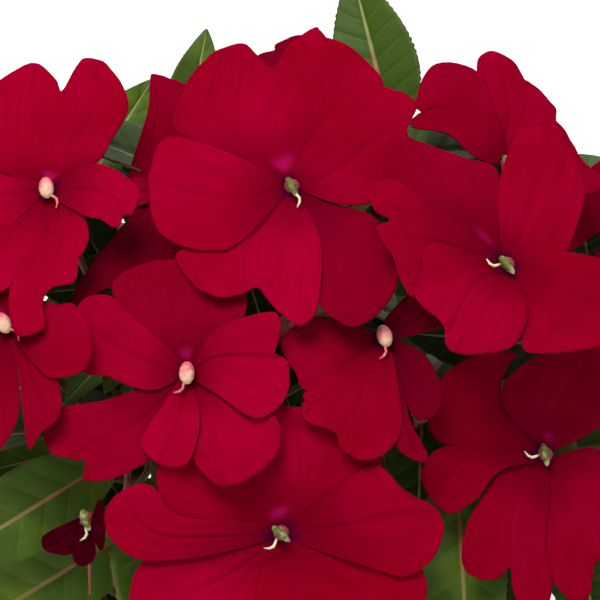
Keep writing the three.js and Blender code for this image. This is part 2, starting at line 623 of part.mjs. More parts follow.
const isNear = (one, other) => [0, 1, 2].every((k) => (
  one.min[k] - leafGap < other.max[k] && other.min[k] - leafGap < one.max[k]));
const isFree = (solid) => {
  const box = solid.boundingBox();
  return box.min[2] > lowestLeaf && taken.every((other) => (
    !isNear(box, other.box) || solid.minGap(other.solid, leafGap) >= leafGap));
};

// Room kept open over the soil for watering
const wateringRoom = { size: [24, 22, 12], corner: [-12, 32, soilTop + 1.5] };
const keptOpen = Manifold.cube(wateringRoom.size).translate(wateringRoom.corner);
const whorlSteps = (shoot) => {
  if (shoot < upperShoots) return [11, 8];
  return shoot < 6 ? [10, 6] : [10];
};
const whorlPlaces = shoots.flatMap(([turn], shoot) => whorlSteps(shoot)
  .map((step, order) => ({ shoot, step, start: turn + order * 30 + shoot * 17 })));
const rings = whorlPlaces.map(({ shoot, step }) => collar(shoot, step / shootSteps));
[...rings, keptOpen].forEach((solid) => taken.push({ solid, box: solid.boundingBox() }));

whorlPlaces.forEach(({ shoot, step, start }, index) => {
  const count = shoot < upperShoots ? 5 : 6;
  const parts = [rings[index]];
  taken.splice(taken.findIndex((other) => other.solid === rings[index]), 1);
  for (let order = 0; order < count; order += 1) {
    const turn = start + 360 / count * order;
    for (const pose of leafPoses) {
      const leaf = whorlLeaf(shoot, step, turn, pose);
      const solid = leafSolid(leaf);
      if (isLeafHidden(leaf) && isFree(solid)) {
        parts.push(solid);
        taken.push({ solid, box: solid.boundingBox() });
        break;
      }
    }
  }
  add(`whorl_${index + 1}`, Manifold.union(parts), 0x3c5a22, 0.5);
});

export default group;
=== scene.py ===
import math
import random
from functools import partial

import bmesh
import bpy
from mathutils import Matrix, Vector, kdtree, noise


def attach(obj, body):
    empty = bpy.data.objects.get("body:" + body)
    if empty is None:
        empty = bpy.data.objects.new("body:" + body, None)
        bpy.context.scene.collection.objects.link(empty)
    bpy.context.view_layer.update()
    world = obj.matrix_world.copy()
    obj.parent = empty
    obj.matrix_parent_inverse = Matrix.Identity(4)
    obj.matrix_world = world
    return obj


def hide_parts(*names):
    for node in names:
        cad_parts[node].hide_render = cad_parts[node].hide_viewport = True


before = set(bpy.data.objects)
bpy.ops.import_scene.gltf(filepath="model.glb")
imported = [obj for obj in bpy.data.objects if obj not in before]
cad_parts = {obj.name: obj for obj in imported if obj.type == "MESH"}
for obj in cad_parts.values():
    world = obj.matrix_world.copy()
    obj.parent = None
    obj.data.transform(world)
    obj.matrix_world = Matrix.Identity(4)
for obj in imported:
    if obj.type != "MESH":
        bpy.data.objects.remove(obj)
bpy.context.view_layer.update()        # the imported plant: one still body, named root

mm = 0.001               # the tables below are in millimetres, Blender works in metres
print("frame loaded,", len(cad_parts), "nodes")

# the face of the mound that looks at the camera
faceTilt = math.radians(30)
faceCentre = Vector((10, -65, 242))
across = Vector((1, 0, 0))
upward = Vector((0, math.sin(faceTilt), math.cos(faceTilt)))
outward = Vector((0, -math.cos(faceTilt), math.sin(faceTilt)))

mound = {"centre": Vector((0, 0, 150)), "radius": 128, "height": 104}
throat = {"radius": 1.3, "depth": 3}
stem = {"shoot": 3.7, "main": 8.5, "foot": 74.5, "top": 124, "gap": 0.3, "stalk": 1.05,
        "spur": 0.8, "spurLength": 26, "steps": 12}

# the camera's view: millimetres for a step of its grid at the face, the grid's middle, the distance
view = {"step": 0.27, "middle": 300, "sight": 1200}

# flowers on the view's grid: eye, depth, turn, and the layer and outline of every petal
faceFlowers = {
    "flower_centre": {"eye": (292, 187), "depth": -5, "turn": (-4, 27), "shoot": 0, "step": 10,
     "petals": [
        (0, (330, 150, 370, 108, 384, 86, 372, 66, 347, 45, 320, 35, 317, 27, 300, 36, 285, 50, 273, 68,
         258, 56, 243, 44, 218, 51, 203, 62, 188, 80, 178, 105, 176, 130, 230, 160)),
        (0, (312, 235, 318, 300, 340, 322, 358, 326, 378, 315, 394, 292, 400, 265, 392, 235, 370, 214,
         340, 205)),
        (1.2, (220, 232, 178, 252, 180, 267, 192, 282, 205, 293, 222, 298, 243, 294, 258, 288, 272, 305,
         297, 325, 312, 318, 319, 300, 322, 250, 312, 218)),
        (1.2, (335, 203, 372, 203, 400, 180, 413, 150, 407, 130, 416, 102, 383, 87, 356, 86, 335, 105,
         298, 160)),
        (2.2, (250, 162, 200, 143, 170, 137, 156, 152, 149, 185, 155, 225, 175, 243, 207, 251, 240,
         243)),
    ]},
    "flower_upper_left": {"eye": (47, 190), "depth": -17, "turn": (-14, 32), "shoot": 1, "step": 10,
     "petals": [
        (0, (0, 168, -30, 165, -50, 190, -40, 220, 0, 230)),
        (0, (-25, 240, -42, 270, -25, 298, 14, 283, 42, 238)),
        (0.5, (96, 163, 110, 143, 129, 105, 110, 68, 88, 58, 77, 66, 62, 91, 55, 78, 33, 63, 0, 80, -22,
         98, -35, 125, -28, 155, 0, 172)),
        (1.6, (43, 225, 36, 245, 10, 290, 16, 334, 44, 328, 43, 303, 52, 288, 75, 282, 68, 268, 84, 252,
         89, 234, 84, 218, 70, 205)),
        (2.4, (85, 216, 100, 219, 113, 227, 121, 224, 124, 216, 133, 212, 137, 186, 96, 164)),
    ]},
    "flower_behind_left": {"eye": (163, 190), "depth": -28, "turn": (-8, 32), "shoot": 0, "step": 10,
     "petals": [
        (0, (190, 150, 205, 112, 197, 90, 156, 74, 150, 82, 149, 108, 141, 135, 130, 178)),
        (0, (192, 238, 216, 226, 226, 200, 216, 176, 196, 166)),
        (1.2, (135, 178, 119, 188, 120, 202, 140, 206)),
        (1.2, (140, 206, 108, 244, 76, 288, 74, 303, 90, 297, 110, 286, 132, 265, 145, 269, 178, 267,
         192, 248, 184, 220)),
    ]},
    "flower_far_left": {"eye": (5, 325), "depth": -1, "turn": (-22, 28), "shoot": 1, "step": 10,
     "petals": [
        (0, (-25, 375, -30, 415, -15, 448, 2, 447, 20, 405)),
        (0, (-20, 300, -55, 290, -85, 315, -88, 350, -60, 378, -20, 365)),
        (0, (22, 290, 20, 262, -10, 240, -50, 245, -60, 275, -30, 305)),
        (1.2, (18, 370, 28, 446, 40, 434, 60, 414, 57, 380, 30, 345)),
        (2, (40, 370, 56, 378, 86, 368, 91, 335, 75, 305, 60, 305, 45, 301, 30, 306)),
    ]},
    "flower_middle_left": {"eye": (187, 375), "depth": 14, "turn": (-8, 22), "shoot": 1, "step": 10,
     "petals": [
        (0, (243, 320, 240, 277, 212, 264, 172, 260, 135, 267, 112, 287, 128, 318)),
        (0, (110, 399, 58, 409, 45, 432, 50, 452, 72, 459, 86, 457, 85, 480, 120, 476, 165, 445)),
        (1, (165, 345, 130, 315, 110, 296, 85, 299, 72, 318, 70, 348, 85, 373, 108, 376, 130, 386, 155,
         390)),
        (1, (197, 420, 193, 458, 218, 485, 240, 483, 262, 470, 278, 450, 280, 425, 262, 402, 230, 385)),
        (2, (165, 402, 142, 441, 160, 464, 188, 462, 200, 420)),
        (2.4, (215, 393, 255, 418, 284, 400, 290, 368, 283, 358, 275, 354, 279, 335, 273, 312, 215,
         330)),
    ]},
    "flower_small": {"eye": (385, 338), "depth": 7, "turn": (4, 26), "shoot": 4,
     "petals": [
        (0, (415, 335, 445, 325, 460, 308, 450, 290, 425, 283, 388, 315)),
        (0, (408, 408, 422, 420, 438, 410, 441, 388, 425, 355)),
        (0.6, (325, 317, 300, 323, 280, 342, 295, 372, 300, 385, 313, 392, 335, 378)),
        (1.4, (390, 380, 395, 443, 422, 462, 428, 456, 420, 440, 408, 415)),
        (2.2, (350, 362, 322, 383, 303, 395, 311, 407, 303, 419, 335, 433, 340, 448, 358, 459, 375, 458,
         394, 444, 402, 420, 395, 365)),
    ]},
    "flower_right": {"eye": (507, 265), "depth": 7, "turn": (14, 28), "shoot": 2, "step": 10,
     "petals": [
        (0, (501, 220, 500, 180, 490, 164, 465, 158, 420, 142, 405, 137, 387, 150, 376, 178, 400, 195,
         440, 220)),
        (0.5, (540, 268, 562, 260, 583, 205, 580, 170, 565, 142, 540, 127, 518, 135, 505, 160, 499, 190,
         499, 225)),
        (1.3, (430, 205, 400, 183, 380, 180, 370, 195, 376, 212, 395, 220, 376, 229, 398, 265, 412, 297,
         455, 282)),
        (1.3, (525, 310, 522, 345, 540, 353, 602, 346, 630, 322, 640, 288, 617, 265, 567, 252, 545,
         260)),
        (2.2, (440, 243, 424, 252, 420, 275, 414, 297, 443, 325, 446, 345, 460, 354, 506, 350, 522, 332,
         527, 305)),
    ]},
    "flower_low_centre": {"eye": (281, 534), "depth": 24, "turn": (0, 10), "shoot": 4,
     "petals": [
        (0, (330, 502, 366, 488, 380, 466, 378, 440, 345, 420, 292, 406, 240, 420, 192, 440, 161, 462,
         157, 485, 163, 505, 182, 517, 240, 525)),
        (0, (222, 549, 147, 559, 129, 600, 136, 630, 172, 652, 222, 652, 262, 625, 262, 595, 266, 570)),
        (0.8, (262, 570, 256, 600, 270, 640, 330, 657, 385, 643, 420, 610, 425, 575, 400, 556, 340,
         545)),
        (1.5, (240, 521, 190, 518, 168, 508, 155, 488, 140, 484, 120, 492, 108, 506, 105, 522, 112, 540,
         142, 560, 205, 556)),
        (1.8, (380, 571, 410, 575, 437, 552, 441, 514, 404, 490, 378, 465, 350, 478)),
    ]},
    "flower_low_right": {"eye": (545, 455), "depth": -2, "turn": (16, 20), "shoot": 4,
     "petals": [
        (0, (545, 520, 547, 560, 556, 585, 575, 602, 590, 595, 594, 568, 612, 545, 630, 500, 620, 465,
         592, 448)),
        (0, (503, 404, 498, 385, 505, 366, 517, 354, 480, 352, 450, 370, 440, 382, 427, 397, 430, 430,
         450, 447, 500, 454)),
        (0.8, (505, 466, 475, 508, 463, 540, 464, 568, 480, 579, 497, 579, 510, 568, 513, 590, 525, 615,
         545, 610, 553, 580, 546, 545, 549, 500)),
        (1.4, (592, 432, 628, 402, 634, 372, 610, 348, 575, 345, 545, 352, 507, 378, 505, 410)),
        (2.2, (448, 446, 424, 465, 422, 480, 430, 497, 450, 513, 477, 498, 500, 470)),
    ]},
    "flower_upper_right": {"eye": (508, 165), "depth": -60, "turn": (10, 46), "shoot": 2, "step": 10,
     "petals": [
        (0, (550, 188, 588, 194, 604, 180, 584, 162, 556, 121, 535, 128)),
        (0.8, (535, 125, 532, 100, 517, 67, 495, 52, 477, 62, 484, 105)),
        (1.4, (545, 152, 562, 140, 556, 121, 553, 106, 522, 81, 507, 125)),
        (2.2, (498, 120, 478, 73, 434, 65, 415, 102, 422, 114, 412, 119, 413, 128, 440, 132, 456, 140,
         473, 156)),
    ]},
    "flower_crest": {"eye": (300, 96), "depth": -67, "turn": (0, 50), "shoot": 0, "step": 10,
     "petals": [
        (0, (322, 70, 330, 52, 318, 38, 300, 35, 276, 44, 275, 50, 258, 56, 252, 70, 268, 86)),
        (1.2, (335, 98, 352, 84, 345, 62, 326, 55, 308, 70)),
        (1.2, (272, 92, 250, 96, 244, 112, 262, 124, 285, 116)),
    ]},
    "flower_shaded": {"eye": (86, 520), "depth": 15, "turn": (0, -24), "shoot": 1, "step": 10,
     "petals": [
        (0, (50, 531, 41, 541, 48, 551, 73, 553)),
        (0.8, (100, 550, 105, 540, 105, 512, 99, 500)),
        (1.4, (73, 554, 78, 564, 88, 564, 96, 553)),
    ]},
    "flower_far_right": {"eye": (640, 225), "depth": -85, "turn": (25, 30), "shoot": 2, "step": 10,
     "petals": [
        (0, (605, 246, 590, 262, 600, 290, 632, 300, 655, 275)),
        (0, (690, 240, 725, 225, 730, 190, 700, 170, 668, 185)),
        (1.2, (612, 196, 598, 188, 584, 196, 567, 250, 604, 230)),
        (1.2, (672, 180, 660, 150, 630, 140, 600, 160, 590, 172, 600, 190)),
    ]},
}
# petals round the mound: angle, length, half spread, notch depth, layer, place of the notch
plainPetals = [
    (90, 30, 47, 0.16, 0, 0), (20, 29, 40, 0.04, 1.2, 0), (160, 29, 40, 0.04, 1.2, 0),
    (240, 33, 36, 0.14, 2.2, 0), (300, 33, 36, 0.14, 0, 0)]
# pose: bearing from the front, height angle, roll, size
roundFlowers = {
    "flower_left_upper": {"pose": (-72, 30, 8, 1), "shoot": 5},
    "flower_left_lower": {"pose": (-98, 3, -12, 0.96), "shoot": 8},
    "flower_back_left": {"pose": (-118, 42, 15, 1.02), "shoot": 3, "step": 10},
    "flower_back_low": {"pose": (-142, 10, -6, 0.95), "shoot": 3, "step": 10},
    "flower_back": {"pose": (178, 10, 12, 1), "shoot": 7},
    "flower_back_top": {"pose": (168, 52, 10, 1), "shoot": 3, "step": 10},
    "flower_back_right": {"pose": (134, 30, -14, 1.03), "shoot": 7},
    "flower_right_back": {"pose": (114, -2, 6, 0.95), "shoot": 6},
    "flower_right_lower": {"pose": (74, 4, 12, 1), "shoot": 6},
    "flower_front_left": {"pose": (-40, -12, -10, 0.95), "shoot": 5},
    "flower_front_low": {"pose": (4, -20, 5, 0.92), "shoot": 4},
    "flower_front_right": {"pose": (42, -12, 14, 0.94), "shoot": 4},
}
faceLeaves = {
    "leaf_crest": {"tone": 0.8, "foot": (27.5, 47, -94), "tip": (15, 98, -110), "width": 12.5,
        "bulge": 2, "slope": 0.3, "shoot": 0, "step": 9},
    "leaf_crest_small": {"tone": 0.7, "foot": (-33, 44, -76), "tip": (-27.3, 79, -97), "width": 8,
        "bulge": 2, "slope": -0.2, "shoot": 0, "step": 10},
    "leaf_between": {"tone": 0.75, "foot": (-72, 14, -58), "tip": (-42.5, 63.5, -80), "width": 14,
        "bulge": 4, "slope": -0.1, "shoot": 0, "step": 9},
    "leaf_low_left": {"tone": 0.9, "foot": (-49, -42, -12), "tip": (-108, -78, -4), "width": 12,
        "bulge": 5, "slope": 0.25, "shoot": 5, "bow": 0.18},
    "leaf_low_bright": {"tone": 1.0, "foot": (-44, -62, -24), "tip": (-104, -98, -16), "width": 13,
        "bulge": 5, "slope": 0.2, "shoot": 1, "step": 9},
    "leaf_low_right": {"tone": 0.8, "foot": (42, -42, -6), "tip": (46, -112, 6), "width": 12,
        "bulge": 5, "slope": -0.2, "shoot": 4},
}
# leaves deep between the flowers: foot and tip on the face, half width, tone; the low tones are painted
# shade
innerLeaves = [
    ((62, 32, -94), (24, 52, -90), 10, 0.2), ((18, 36, -78), (60, 33, -74), 9, 0.0),
    ((-32, 6, -50), (-72, 2, -46), 11, 0.1), ((-70, 34, -62), (-50, 2, -60), 9, 0.1),
    ((34, -24, -30), (32, -70, -22), 10, 0.15), ((74, -13, -34), (28, -9, -26), 11, 0.0),
    ((84, 10, -92), (80, 34, -96), 9, 0.1), ((-36, -35, -28), (-94, -49, -24), 9.5, 0.75),
    ((-2, -32, -26), (-17, 14, -30), 9, 0.0), ((-78, 20, -40), (-94, -14, -34), 9, 0.1),
    ((74, -62, -30), (84, -96, -26), 10, 0.3), ((-40, 16, -44), (-48, 44, -62), 8, 0.1),
    ((14, 12, -34), (36, 32, -42), 7, 0.0),
]
# bearing from the front, height angle of the tip, share of the mound's depth
shoots = [
    (0, 88, 0.76), (-28, 44, 0.78), (92, 46, 0.76), (-148, 46, 0.76), (28, 12, 0.64),
    (-48, 8, 0.62), (100, 6, 0.62), (160, 8, 0.62), (-110, 8, 0.62),
]
upperShoots = 4
# painted shade: how far the colour of each petal is darkened, where a flower or a petal stands in
# shadow
paintedPetalShade = {
    "flower_behind_left": (0.25, 0.5, 0.2, 0.5), "flower_small": (0.5, 0.6, 0.1, 0.35, 0.05),
    "flower_centre": (0, 0.35, 0, 0.05, 0), "flower_middle_left": (0.25, 0.2, 0.05, 0.05, 0, 0.05),
    "flower_shaded": (0.9, 0.9, 0.9), "flower_crest": (0.55, 0.45, 0.5),
    "flower_upper_right": (0.3, 0.1, 0.15, 0.2), "flower_far_right": (0.6, 0.5, 0.5, 0.4),
    "flower_far_left": (0.2, 0.3, 0.2, 0.2, 0.1), "flower_right": (0.25, 0, 0.1, 0.05, 0.05),
    "flower_low_right": (0.1, 0.05, 0.1, 0.25, 0.1),
}
# what an eye shows: an anther cap or a green pistil, and where the pistil and the thread point
eyeForms = {
    "flower_centre": ("pistil", -62, -70), "flower_upper_left": ("cap", -80, -55),
    "flower_behind_left": ("pistil", -90, -110), "flower_far_left": ("cap", -60, -40),
    "flower_middle_left": ("cap", -90, -120), "flower_small": ("cap", -75, -100),
    "flower_right": ("pistil", -52, 170), "flower_low_centre": ("pistil", -40, -135),
    "flower_low_right": ("pistil", -80, 175), "flower_upper_right": ("pistil", -70, -95),
    "flower_front_left": ("cap", -90, -60), "flower_back_low": ("cap", -70, -110),
    "flower_right_lower": ("cap", -90, -60), "flower_left_upper": ("cap", -100, -60),
}


def onFace(place):
    return faceCentre + across * place[0] + upward * place[1] + outward * place[2]


def bearing(angle):
    turn = math.radians(angle)
    return Vector((math.sin(turn), -math.cos(turn), 0))


def onMound(turn, rise, share):
    lift = math.radians(rise)
    level = bearing(turn) * (mound["radius"] * share * math.cos(lift))
    return mound["centre"] + level + Vector((0, 0, mound["height"] * share * math.sin(lift)))


buds = {
    "bud_face_low": dict(at=onFace((33, -31, -12)), way=outward, shoot=4),
    "bud_face_middle": dict(at=onFace((-3, -6, -10)), way=outward, shoot=1, step=10),
}


# meshes
def newMesh(*floats):
    bm = bmesh.new()
    layers = {"uv": bm.loops.layers.uv.new("UVMap")}
    for name in floats:
        layers[name] = bm.verts.layers.float.new(name)
    return bm, layers


def finishPiece(name, bm, material, nodes=(), thickness=0):
    mesh = bpy.data.meshes.new(name)
    bm.to_mesh(mesh)
    bm.free()
    mesh.shade_smooth()
    mesh.materials.append(material)
    piece = bpy.data.objects.new(name, mesh)
    bpy.context.scene.collection.objects.link(piece)
    if thickness:
        solid = piece.modifiers.new("thickness", "SOLIDIFY")
        solid.thickness = thickness * mm
        solid.offset = 0
    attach(piece, "root")
    if nodes:
        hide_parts(*nodes)
    return piece


def addSheet(bm, layers, columns, rows, place, **values):    # place(s, t): s along, t across
    made = bmesh.ops.create_grid(bm, x_segments=columns, y_segments=rows, size=1)["verts"]
    flat = {vert: (vert.co.x, (vert.co.y + 1) / 2) for vert in made}
    for face in {face for vert in made for face in vert.link_faces}:
        for loop in face.loops:
            t, s = flat[loop.vert]
            loop[layers["uv"]].uv = (t / 2 + 0.5, s)
    for vert, (t, s) in flat.items():
        for name, value in values.items():
            vert[layers[name]] = value
        vert.co = place(s, t) * mm


def addTube(bm, layers, path, radii, sides=8, values=None):    # values: name -> one number a ring
    ring = bmesh.ops.create_circle(bm, segments=sides, radius=radii[0] * mm, cap_ends=True)["verts"]
    way = (path[1] - path[0]).normalized()
    turn = Vector((0, 0, 1)).rotation_difference(way).to_matrix()
    bmesh.ops.rotate(bm, verts=ring, cent=(0, 0, 0), matrix=turn)
    bmesh.ops.translate(bm, verts=ring, vec=path[0] * mm)
    edges = list({edge for vert in ring for edge in vert.link_edges})
    rings = [ring]
    for index in range(1, len(path)):
        grown = bmesh.ops.extrude_edge_only(bm, edges=edges)["geom"]
        ring = [item for item in grown if isinstance(item, bmesh.types.BMVert)]
        edges = [item for item in grown if isinstance(item, bmesh.types.BMEdge)
                 and item.verts[0] in ring and item.verts[1] in ring]
        after = path[min(index + 1, len(path) - 1)]
        ahead = (after - path[index - 1]).normalized()
        turn = way.rotation_difference(ahead).to_matrix()
        bmesh.ops.rotate(bm, verts=ring, cent=path[index - 1] * mm, matrix=turn)
        bmesh.ops.translate(bm, verts=ring, vec=(path[index] - path[index - 1]) * mm)
        middle, ratio = path[index] * mm, radii[index] / radii[index - 1]
        for vert in ring:
            vert.co = middle + (vert.co - middle) * ratio
        way = ahead
        rings.append(ring)
    bmesh.ops.contextual_create(bm, geom=edges)
    for name, numbers in (values or {}).items():
        for ring, number in zip(rings, numbers):
            for vert in ring:
                vert[layers[name]] = number


def bezier(points, t):
    a, b, c, d = points
    u = 1 - t
    return a * u ** 3 + b * (3 * u * u * t) + c * (3 * u * t * t) + d * t ** 3


def bezierPath(points, count):
    return [bezier(points, index / count) for index in range(count + 1)]


def smoothStep(low, high, value):
    share = min(1, max(0, (value - low) / (high - low)))
    return share * share * (3 - 2 * share)


# shoots
def shootPoints(turn, rise, share):
    tip = onMound(turn, rise, share)
    if rise > 80:
        start, lead = Vector((0, 0, stem["top"] + stem["gap"])), Vector((0, 0, 20))
    else:
        start = bearing(turn) * (stem["main"] + stem["gap"] + 0.1)
        start.z = stem["top"] - (8 if rise > 30 else 22)
        lead = bearing(turn) * 12
    return start, start + lead, tip + Vector((tip.x * -0.25, tip.y * -0.25, -34)), tip


def shootAt(index, share):            # point and direction at a share of the shoot's length
    points = shootPoints(*shoots[index])
    samples = bezierPath(points, 200)
    lengths = [0]
    for before, after in zip(samples, samples[1:]):
        lengths.append(lengths[-1] + (after - before).length)
    goal = lengths[-1] * share
    k = max(i for i, length in enumerate(lengths[:-1]) if length <= goal)
    t = (k + (goal - lengths[k]) / (lengths[k + 1] - lengths[k])) / 200
    near, far = bezier(points, max(0, t - 0.0001)), bezier(points, min(1, t + 0.0001))
    return bezier(points, t), (far - near).normalized()


shootPlaces = {(index, step): shootAt(index, step / stem["steps"])
               for index in range(len(shoots)) for step in range(stem["steps"] + 1)}


def stalkPoints(start, back, shoot, step=11, bow=0.35):
    centre, axis = shootPlaces[shoot, step]
    away = start - centre
    away = (away - axis * away.dot(axis)).normalized()
    end = centre + away * (stem["shoot"] + stem["gap"] + 0.05)
    span = (end - start).length
    return [start, start + back * (span * bow), end + away * max(5, span * 0.3), end], away


def stalkTube(bm, layers, start, back, given):
    points, away = stalkPoints(start, back, given["shoot"],
                               given.get("step", 11), given.get("bow", 0.35))
    last = 19                          # the last ring lies nearer to the shoot's middle
    path = bezierPath(points, last - 1) + [points[3] - away * 0.9]
    shares = [i / last for i in range(last + 1)]
    radii = [stem["stalk"] * (1 + 0.25 * smoothStep(0.8, 1, share) + 0.2 * smoothStep(0.2, 0, share))
             for share in shares]
    addTube(bm, layers, path, radii, 10, {"blush": [smoothStep(1, 0.1, share) for share in shares]})


# materials
def newMaterial(name, **fixed):       # fixed: plain numbers and colours of the Principled shader
    material = bpy.data.materials.new(name)
    material.use_nodes = True
    tree = material.node_tree
    shader = tree.nodes["Principled BSDF"]
    for socket, value in fixed.items():
        shader.inputs[socket].default_value = value
    return tree, shader, material


def mathNode(tree, operation, *values):
    node = tree.nodes.new("ShaderNodeMath")
    node.operation = operation
    for socket, value in zip(node.inputs, values):
        if isinstance(value, (int, float)):
            socket.default_value = value
        else:
            tree.links.new(value, socket)
    return node.outputs[0]


def rangeNode(tree, value, low, high, toLow=0.0, toHigh=1.0):
    node = tree.nodes.new("ShaderNodeMapRange")
    node.interpolation_type = "SMOOTHSTEP"
    tree.links.new(value, node.inputs["Value"])
    for name, number in (("From Min", low), ("From Max", high),
                         ("To Min", toLow), ("To Max", toHigh)):
        node.inputs[name].default_value = number
    return node.outputs["Result"]


def mixColours(tree, amount, one, other):
    node = tree.nodes.new("ShaderNodeMix")
    node.data_type = "RGBA"
    for socket, value in ((node.inputs[0], amount), (node.inputs[6], one), (node.inputs[7], other)):
        if isinstance(value, (int, float)):
            socket.default_value = value
        elif isinstance(value, tuple):
            socket.default_value = (*value, 1)
        else:
            tree.links.new(value, socket)
    return node.outputs[2]


def placed(tree, source, scale):      # Object or UV coordinates through a Mapping node
    coordinates = tree.nodes.new("ShaderNodeTexCoord")
    mapping = tree.nodes.new("ShaderNodeMapping")
    mapping.inputs["Scale"].default_value = scale
    tree.links.new(coordinates.outputs[source], mapping.inputs["Vector"])
    return mapping.outputs["Vector"]


def noiseOf(tree, vector, scale, detail=3.0, roughness=0.55):
    node = tree.nodes.new("ShaderNodeTexNoise")
    node.inputs["Scale"].default_value = scale
    node.inputs["Detail"].default_value = detail
    node.inputs["Roughness"].default_value = roughness
    tree.links.new(vector, node.inputs["Vector"])
    return node.outputs["Fac"]


def attribute(tree, name):
    node = tree.nodes.new("ShaderNodeAttribute")
    node.attribute_name = name
    return node.outputs["Fac"]


def sheetAxes(tree):           # u across and v along a petal or a leaf
    coordinates = tree.nodes.new("ShaderNodeTexCoord")
    parts = tree.nodes.new("ShaderNodeSeparateXYZ")
    tree.links.new(coordinates.outputs["UV"], parts.inputs[0])
    return parts.outputs[0], parts.outputs[1]


def mottleGroup():                     # soft patches of light and dark, and a fine grain to bump with
    group = bpy.data.node_groups.new("growthMottle", "ShaderNodeTree")
    for name, value in (("Patch Scale", 40.0), ("Grain Scale", 600.0), ("Grain Height", 0.5)):
        socket = group.interface.new_socket(name, in_out="INPUT", socket_type="NodeSocketFloat")
        socket.default_value = value
    group.interface.new_socket("Patches", in_out="OUTPUT", socket_type="NodeSocketFloat")
    group.interface.new_socket("Grain", in_out="OUTPUT", socket_type="NodeSocketFloat")
    tree = group
    given, put = tree.nodes.new("NodeGroupInput"), tree.nodes.new("NodeGroupOutput")
    coordinates = tree.nodes.new("ShaderNodeTexCoord")
    for scale, output in (("Patch Scale", "Patches"), ("Grain Scale", "Grain")):
        texture = tree.nodes.new("ShaderNodeTexNoise")
        texture.inputs["Detail"].default_value = 4
        tree.links.new(coordinates.outputs["Object"], texture.inputs["Vector"])
        tree.links.new(given.outputs[scale], texture.inputs["Scale"])
        if output == "Grain":
            height = tree.nodes.new("ShaderNodeMath")
            height.operation = "MULTIPLY"
            tree.links.new(texture.outputs["Fac"], height.inputs[0])
            tree.links.new(given.outputs["Grain Height"], height.inputs[1])
            tree.links.new(height.outputs[0], put.inputs[output])
        else:
            tree.links.new(texture.outputs["Fac"], put.inputs[output])
    return group


growthMottle = mottleGroup()


def mottle(tree, patchScale, grainScale, grainHeight):
    node = tree.nodes.new("ShaderNodeGroup")
    node.node_tree = growthMottle
    node.inputs["Patch Scale"].default_value = patchScale
    node.inputs["Grain Scale"].default_value = grainScale
    node.inputs["Grain Height"].default_value = grainHeight
    return node.outputs["Patches"], node.outputs["Grain"]


def bump(tree, shader, height, strength, distance):
    node = tree.nodes.new("ShaderNodeBump")
    node.inputs["Strength"].default_value = strength
    node.inputs["Distance"].default_value = distance * mm
    tree.links.new(height, node.inputs["Height"])
    tree.links.new(node.outputs["Normal"], shader.inputs["Normal"])


# colours of the velvet petals; the near-black red shade colour is painted shade for petals that stand
# in shadow
petalLook = {
    "crimson": (0.195, 0.0001, 0.0085), "rose": (0.265, 0.0002, 0.018), "wine": (0.09, 0.0001, 0.006),
    "halo": (0.045, 0.0004, 0.016), "spot": (0.38, 0.004, 0.095), "shaded": (0.022, 0.0001, 0.003),
    "roughness": 0.85, "sheen": 0.05, "veinHeight": 0.2,
}


def petalMaterial():
    look = petalLook
    tree, shader, material = newMaterial("velvetPetal", **{
        "Roughness": look["roughness"], "Specular IOR Level": 0.0,
        "Sheen Weight": look["sheen"], "Sheen Roughness": 0.45, "Sheen Tint": (0.9, 0.0, 0.16, 1)})
    u, v = sheetAxes(tree)
    patches, grain = mottle(tree, 38, 1500, 0.3)
    tone = mathNode(tree, "ADD", rangeNode(tree, patches, 0.35, 0.68, 0, 0.6),
                    mathNode(tree, "MULTIPLY", attribute(tree, "tone"), 0.4))
    colour = mixColours(tree, tone, look["crimson"], look["rose"])
    streaks = noiseOf(tree, placed(tree, "UV", (26, 1.7, 1)), 1.6, 3)
    colour = mixColours(tree, rangeNode(tree, streaks, 0.42, 0.75, 0, 0.3),
                        colour, look["wine"])
    colour = mixColours(tree, rangeNode(tree, v, 0.5, 0.08, 0, 0.6),
                        colour, look["wine"])
    aside = mathNode(tree, "MULTIPLY", mathNode(tree, "SUBTRACT", u, 0.5), 4.6)
    along = mathNode(tree, "MULTIPLY", mathNode(tree, "SUBTRACT", v, 0.15), 13.0)
    away = mathNode(tree, "SQRT", mathNode(tree, "ADD",
                    mathNode(tree, "MULTIPLY", aside, aside),
                    mathNode(tree, "MULTIPLY", along, along)))
    spot = mathNode(tree, "MULTIPLY", rangeNode(tree, away, 1, 0.1),
                    attribute(tree, "dorsal"))
    colour = mixColours(tree, mathNode(tree, "MULTIPLY", spot, 0.5), colour, look["spot"])
    colour = mixColours(tree, rangeNode(tree, v, 0.12, 0.02, 0, 0.9), colour, look["halo"])
    # painted shade: petals that stand in shadow are mixed towards the near-black red, by their
    # per-petal amount and in soft patches
    depth = mathNode(tree, "MULTIPLY", attribute(tree, "shade"),
                     rangeNode(tree, patches, 0.25, 0.6, 0.75, 1))
    colour = mixColours(tree, depth, colour, look["shaded"])
    tree.links.new(colour, shader.inputs["Base Color"])
    height = mathNode(tree, "ADD", mathNode(tree, "MULTIPLY", streaks, 1.0), grain)
    bump(tree, shader, height, look["veinHeight"], 0.9)
    return material


leafLook = {
    "blade": (0.040, 0.080, 0.005), "deep": (0.009, 0.022, 0.002), "bright": (0.105, 0.170, 0.008),
    "vein": (0.22, 0.24, 0.07), "blushRib": (0.26, 0.09, 0.05), "margin": (0.13, 0.06, 0.02),
    "roughness": 0.5, "veinPairs": 9, "veinSlope": 1.1,
}


